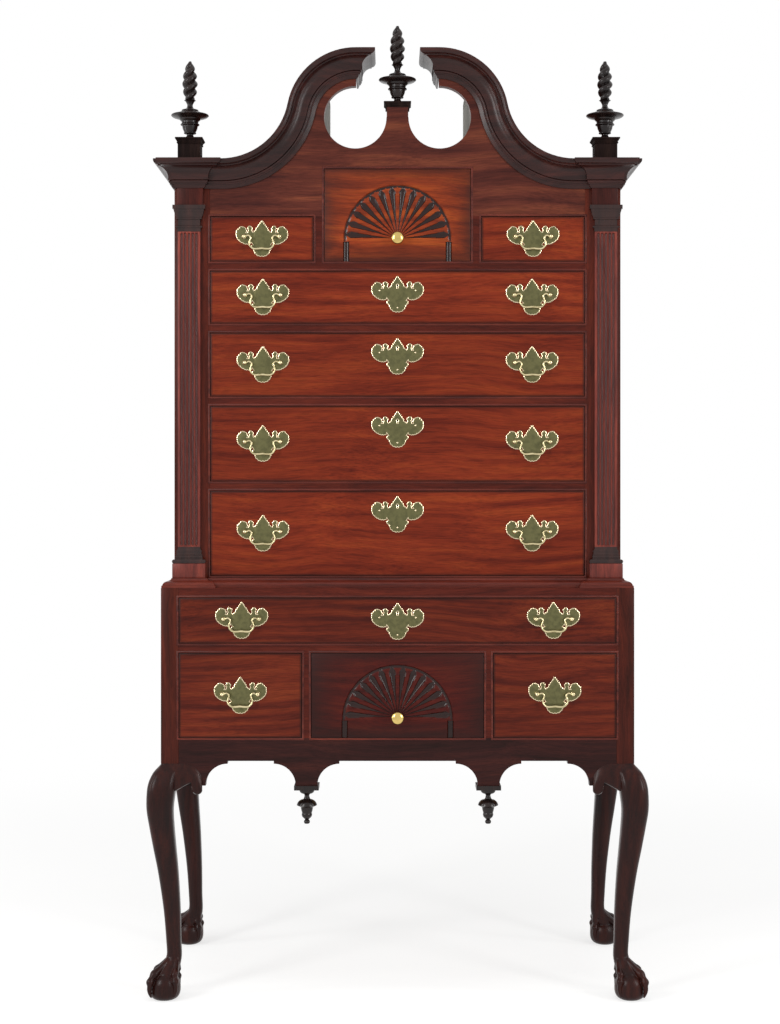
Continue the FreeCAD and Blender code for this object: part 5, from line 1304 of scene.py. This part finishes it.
# %% [markdown]
# ## Three finials
#
# A finial is turned in two parts: an urn with a wide saucer, and a bud that the carver wound with two
# rounded strands.  The urn is a spin.  The bud could be a twisted modifier on a lobed column, but a
# modifier turns evenly along one axis only; rings that are turned a little more at each step give the
# same screw, and can swell and close at the tip.

# %% Urn and wound bud
URN = [(0, 0), (13.6, 0), (13.6, 3), (11, 4.5, -7), (7.4, 10, -3), (10.5, 12), (13.1, 12.5, 1.6),
       (13.1, 15.5), (13.6, 17, 30), (17.9, 30), (20.3, 31.5, 1.8), (20.3, 35), (18.6, 36.5),
       (19.5, 41, 9), (24.5, 46.5), (38, 50, 12), (42.8, 53.5, 2.4), (41.5, 56, -40), (22, 62.5),
       (18.2, 64, 1.6), (18.2, 67), (13, 68.5, -9), (6.2, 77.5, -12), (8.5, 83, -9), (13.5, 88.5),
       (0, 91)]
BUD_LOW, BUD_HIGH, BUD_FAT, BUD_TURNS, BUD_STEPS = 86.5, 177.5, 17.6, 2.35, 52


def bud():
    """A pointed bud of two strands wound like a right-hand screw, in mm."""
    rings = []
    for step in range(BUD_STEPS + 1):
        share = step / BUD_STEPS
        swell = math.sin(math.pi * (0.13 + share * 0.85)) ** 0.62
        fat = max(BUD_FAT * swell, 0.9)
        turn = 2 * math.pi * BUD_TURNS * share
        ring = []
        for swing in swings(32):
            lobe = 0.58 + 0.42 * abs(math.cos(swing - turn)) ** 0.8
            ring.append(Vector((fat * lobe * math.cos(swing), fat * lobe * math.sin(swing),
                                BUD_LOW + (BUD_HIGH - BUD_LOW) * share)))
        rings.append(ring)
    return skin(rings)


print("a bud turns", BUD_TURNS, "times")

# %% Caps under the finials
CAP_THICK = 13
PLINTH_CAP = [(0, 0), (1.2, 0, 1.4), (1.2, 2.6), (0.8, 3.2), (1.5, 4, -7), (5.0, 9.6), (5.6, 10.2),
              (5.6, CAP_THICK), (-8, CAP_THICK)]


def crowned(middle, half, block_low, cap_low):
    """A plinth's moulded cap with its finial; block_low is None where the column carries it."""
    piece = bmesh.new()
    if block_low is not None:
        put(piece, plank((middle.x - half, middle.y - half, block_low),
                         (middle.x + half, middle.y + half, cap_low), 0.8 * MM), coat=1)
    base = Vector((middle.x, middle.y, cap_low))
    put(piece, round_block(base, half, middle.y - half, PLINTH_CAP), coat=1)
    up = Matrix.Translation((middle.x, middle.y, cap_low + CAP_THICK * MM))
    put(piece, turned(URN, 56), up)
    put(piece, bud(), up @ GROW_MM)
    return piece


def set_finial(word, piece):
    """A finished finial on the case."""
    finished(word + "_finial", piece, [turned_wood, block_wood], "case", ["finials"],
             crease=40)


column_top = cornice_top + 124 * MM
set_finial("middle", crowned(Vector((0, upper_front + 26 * MM, 0)), 25.4 * MM, None, column_top))
for word, side in SIDES:
    middle = Vector((side * PILASTER_AT, upper_front + 13.5 * MM, 0))
    set_finial(word, crowned(middle, 25.5 * MM, cornice_top, cornice_top + 40 * MM))
print("finials set")
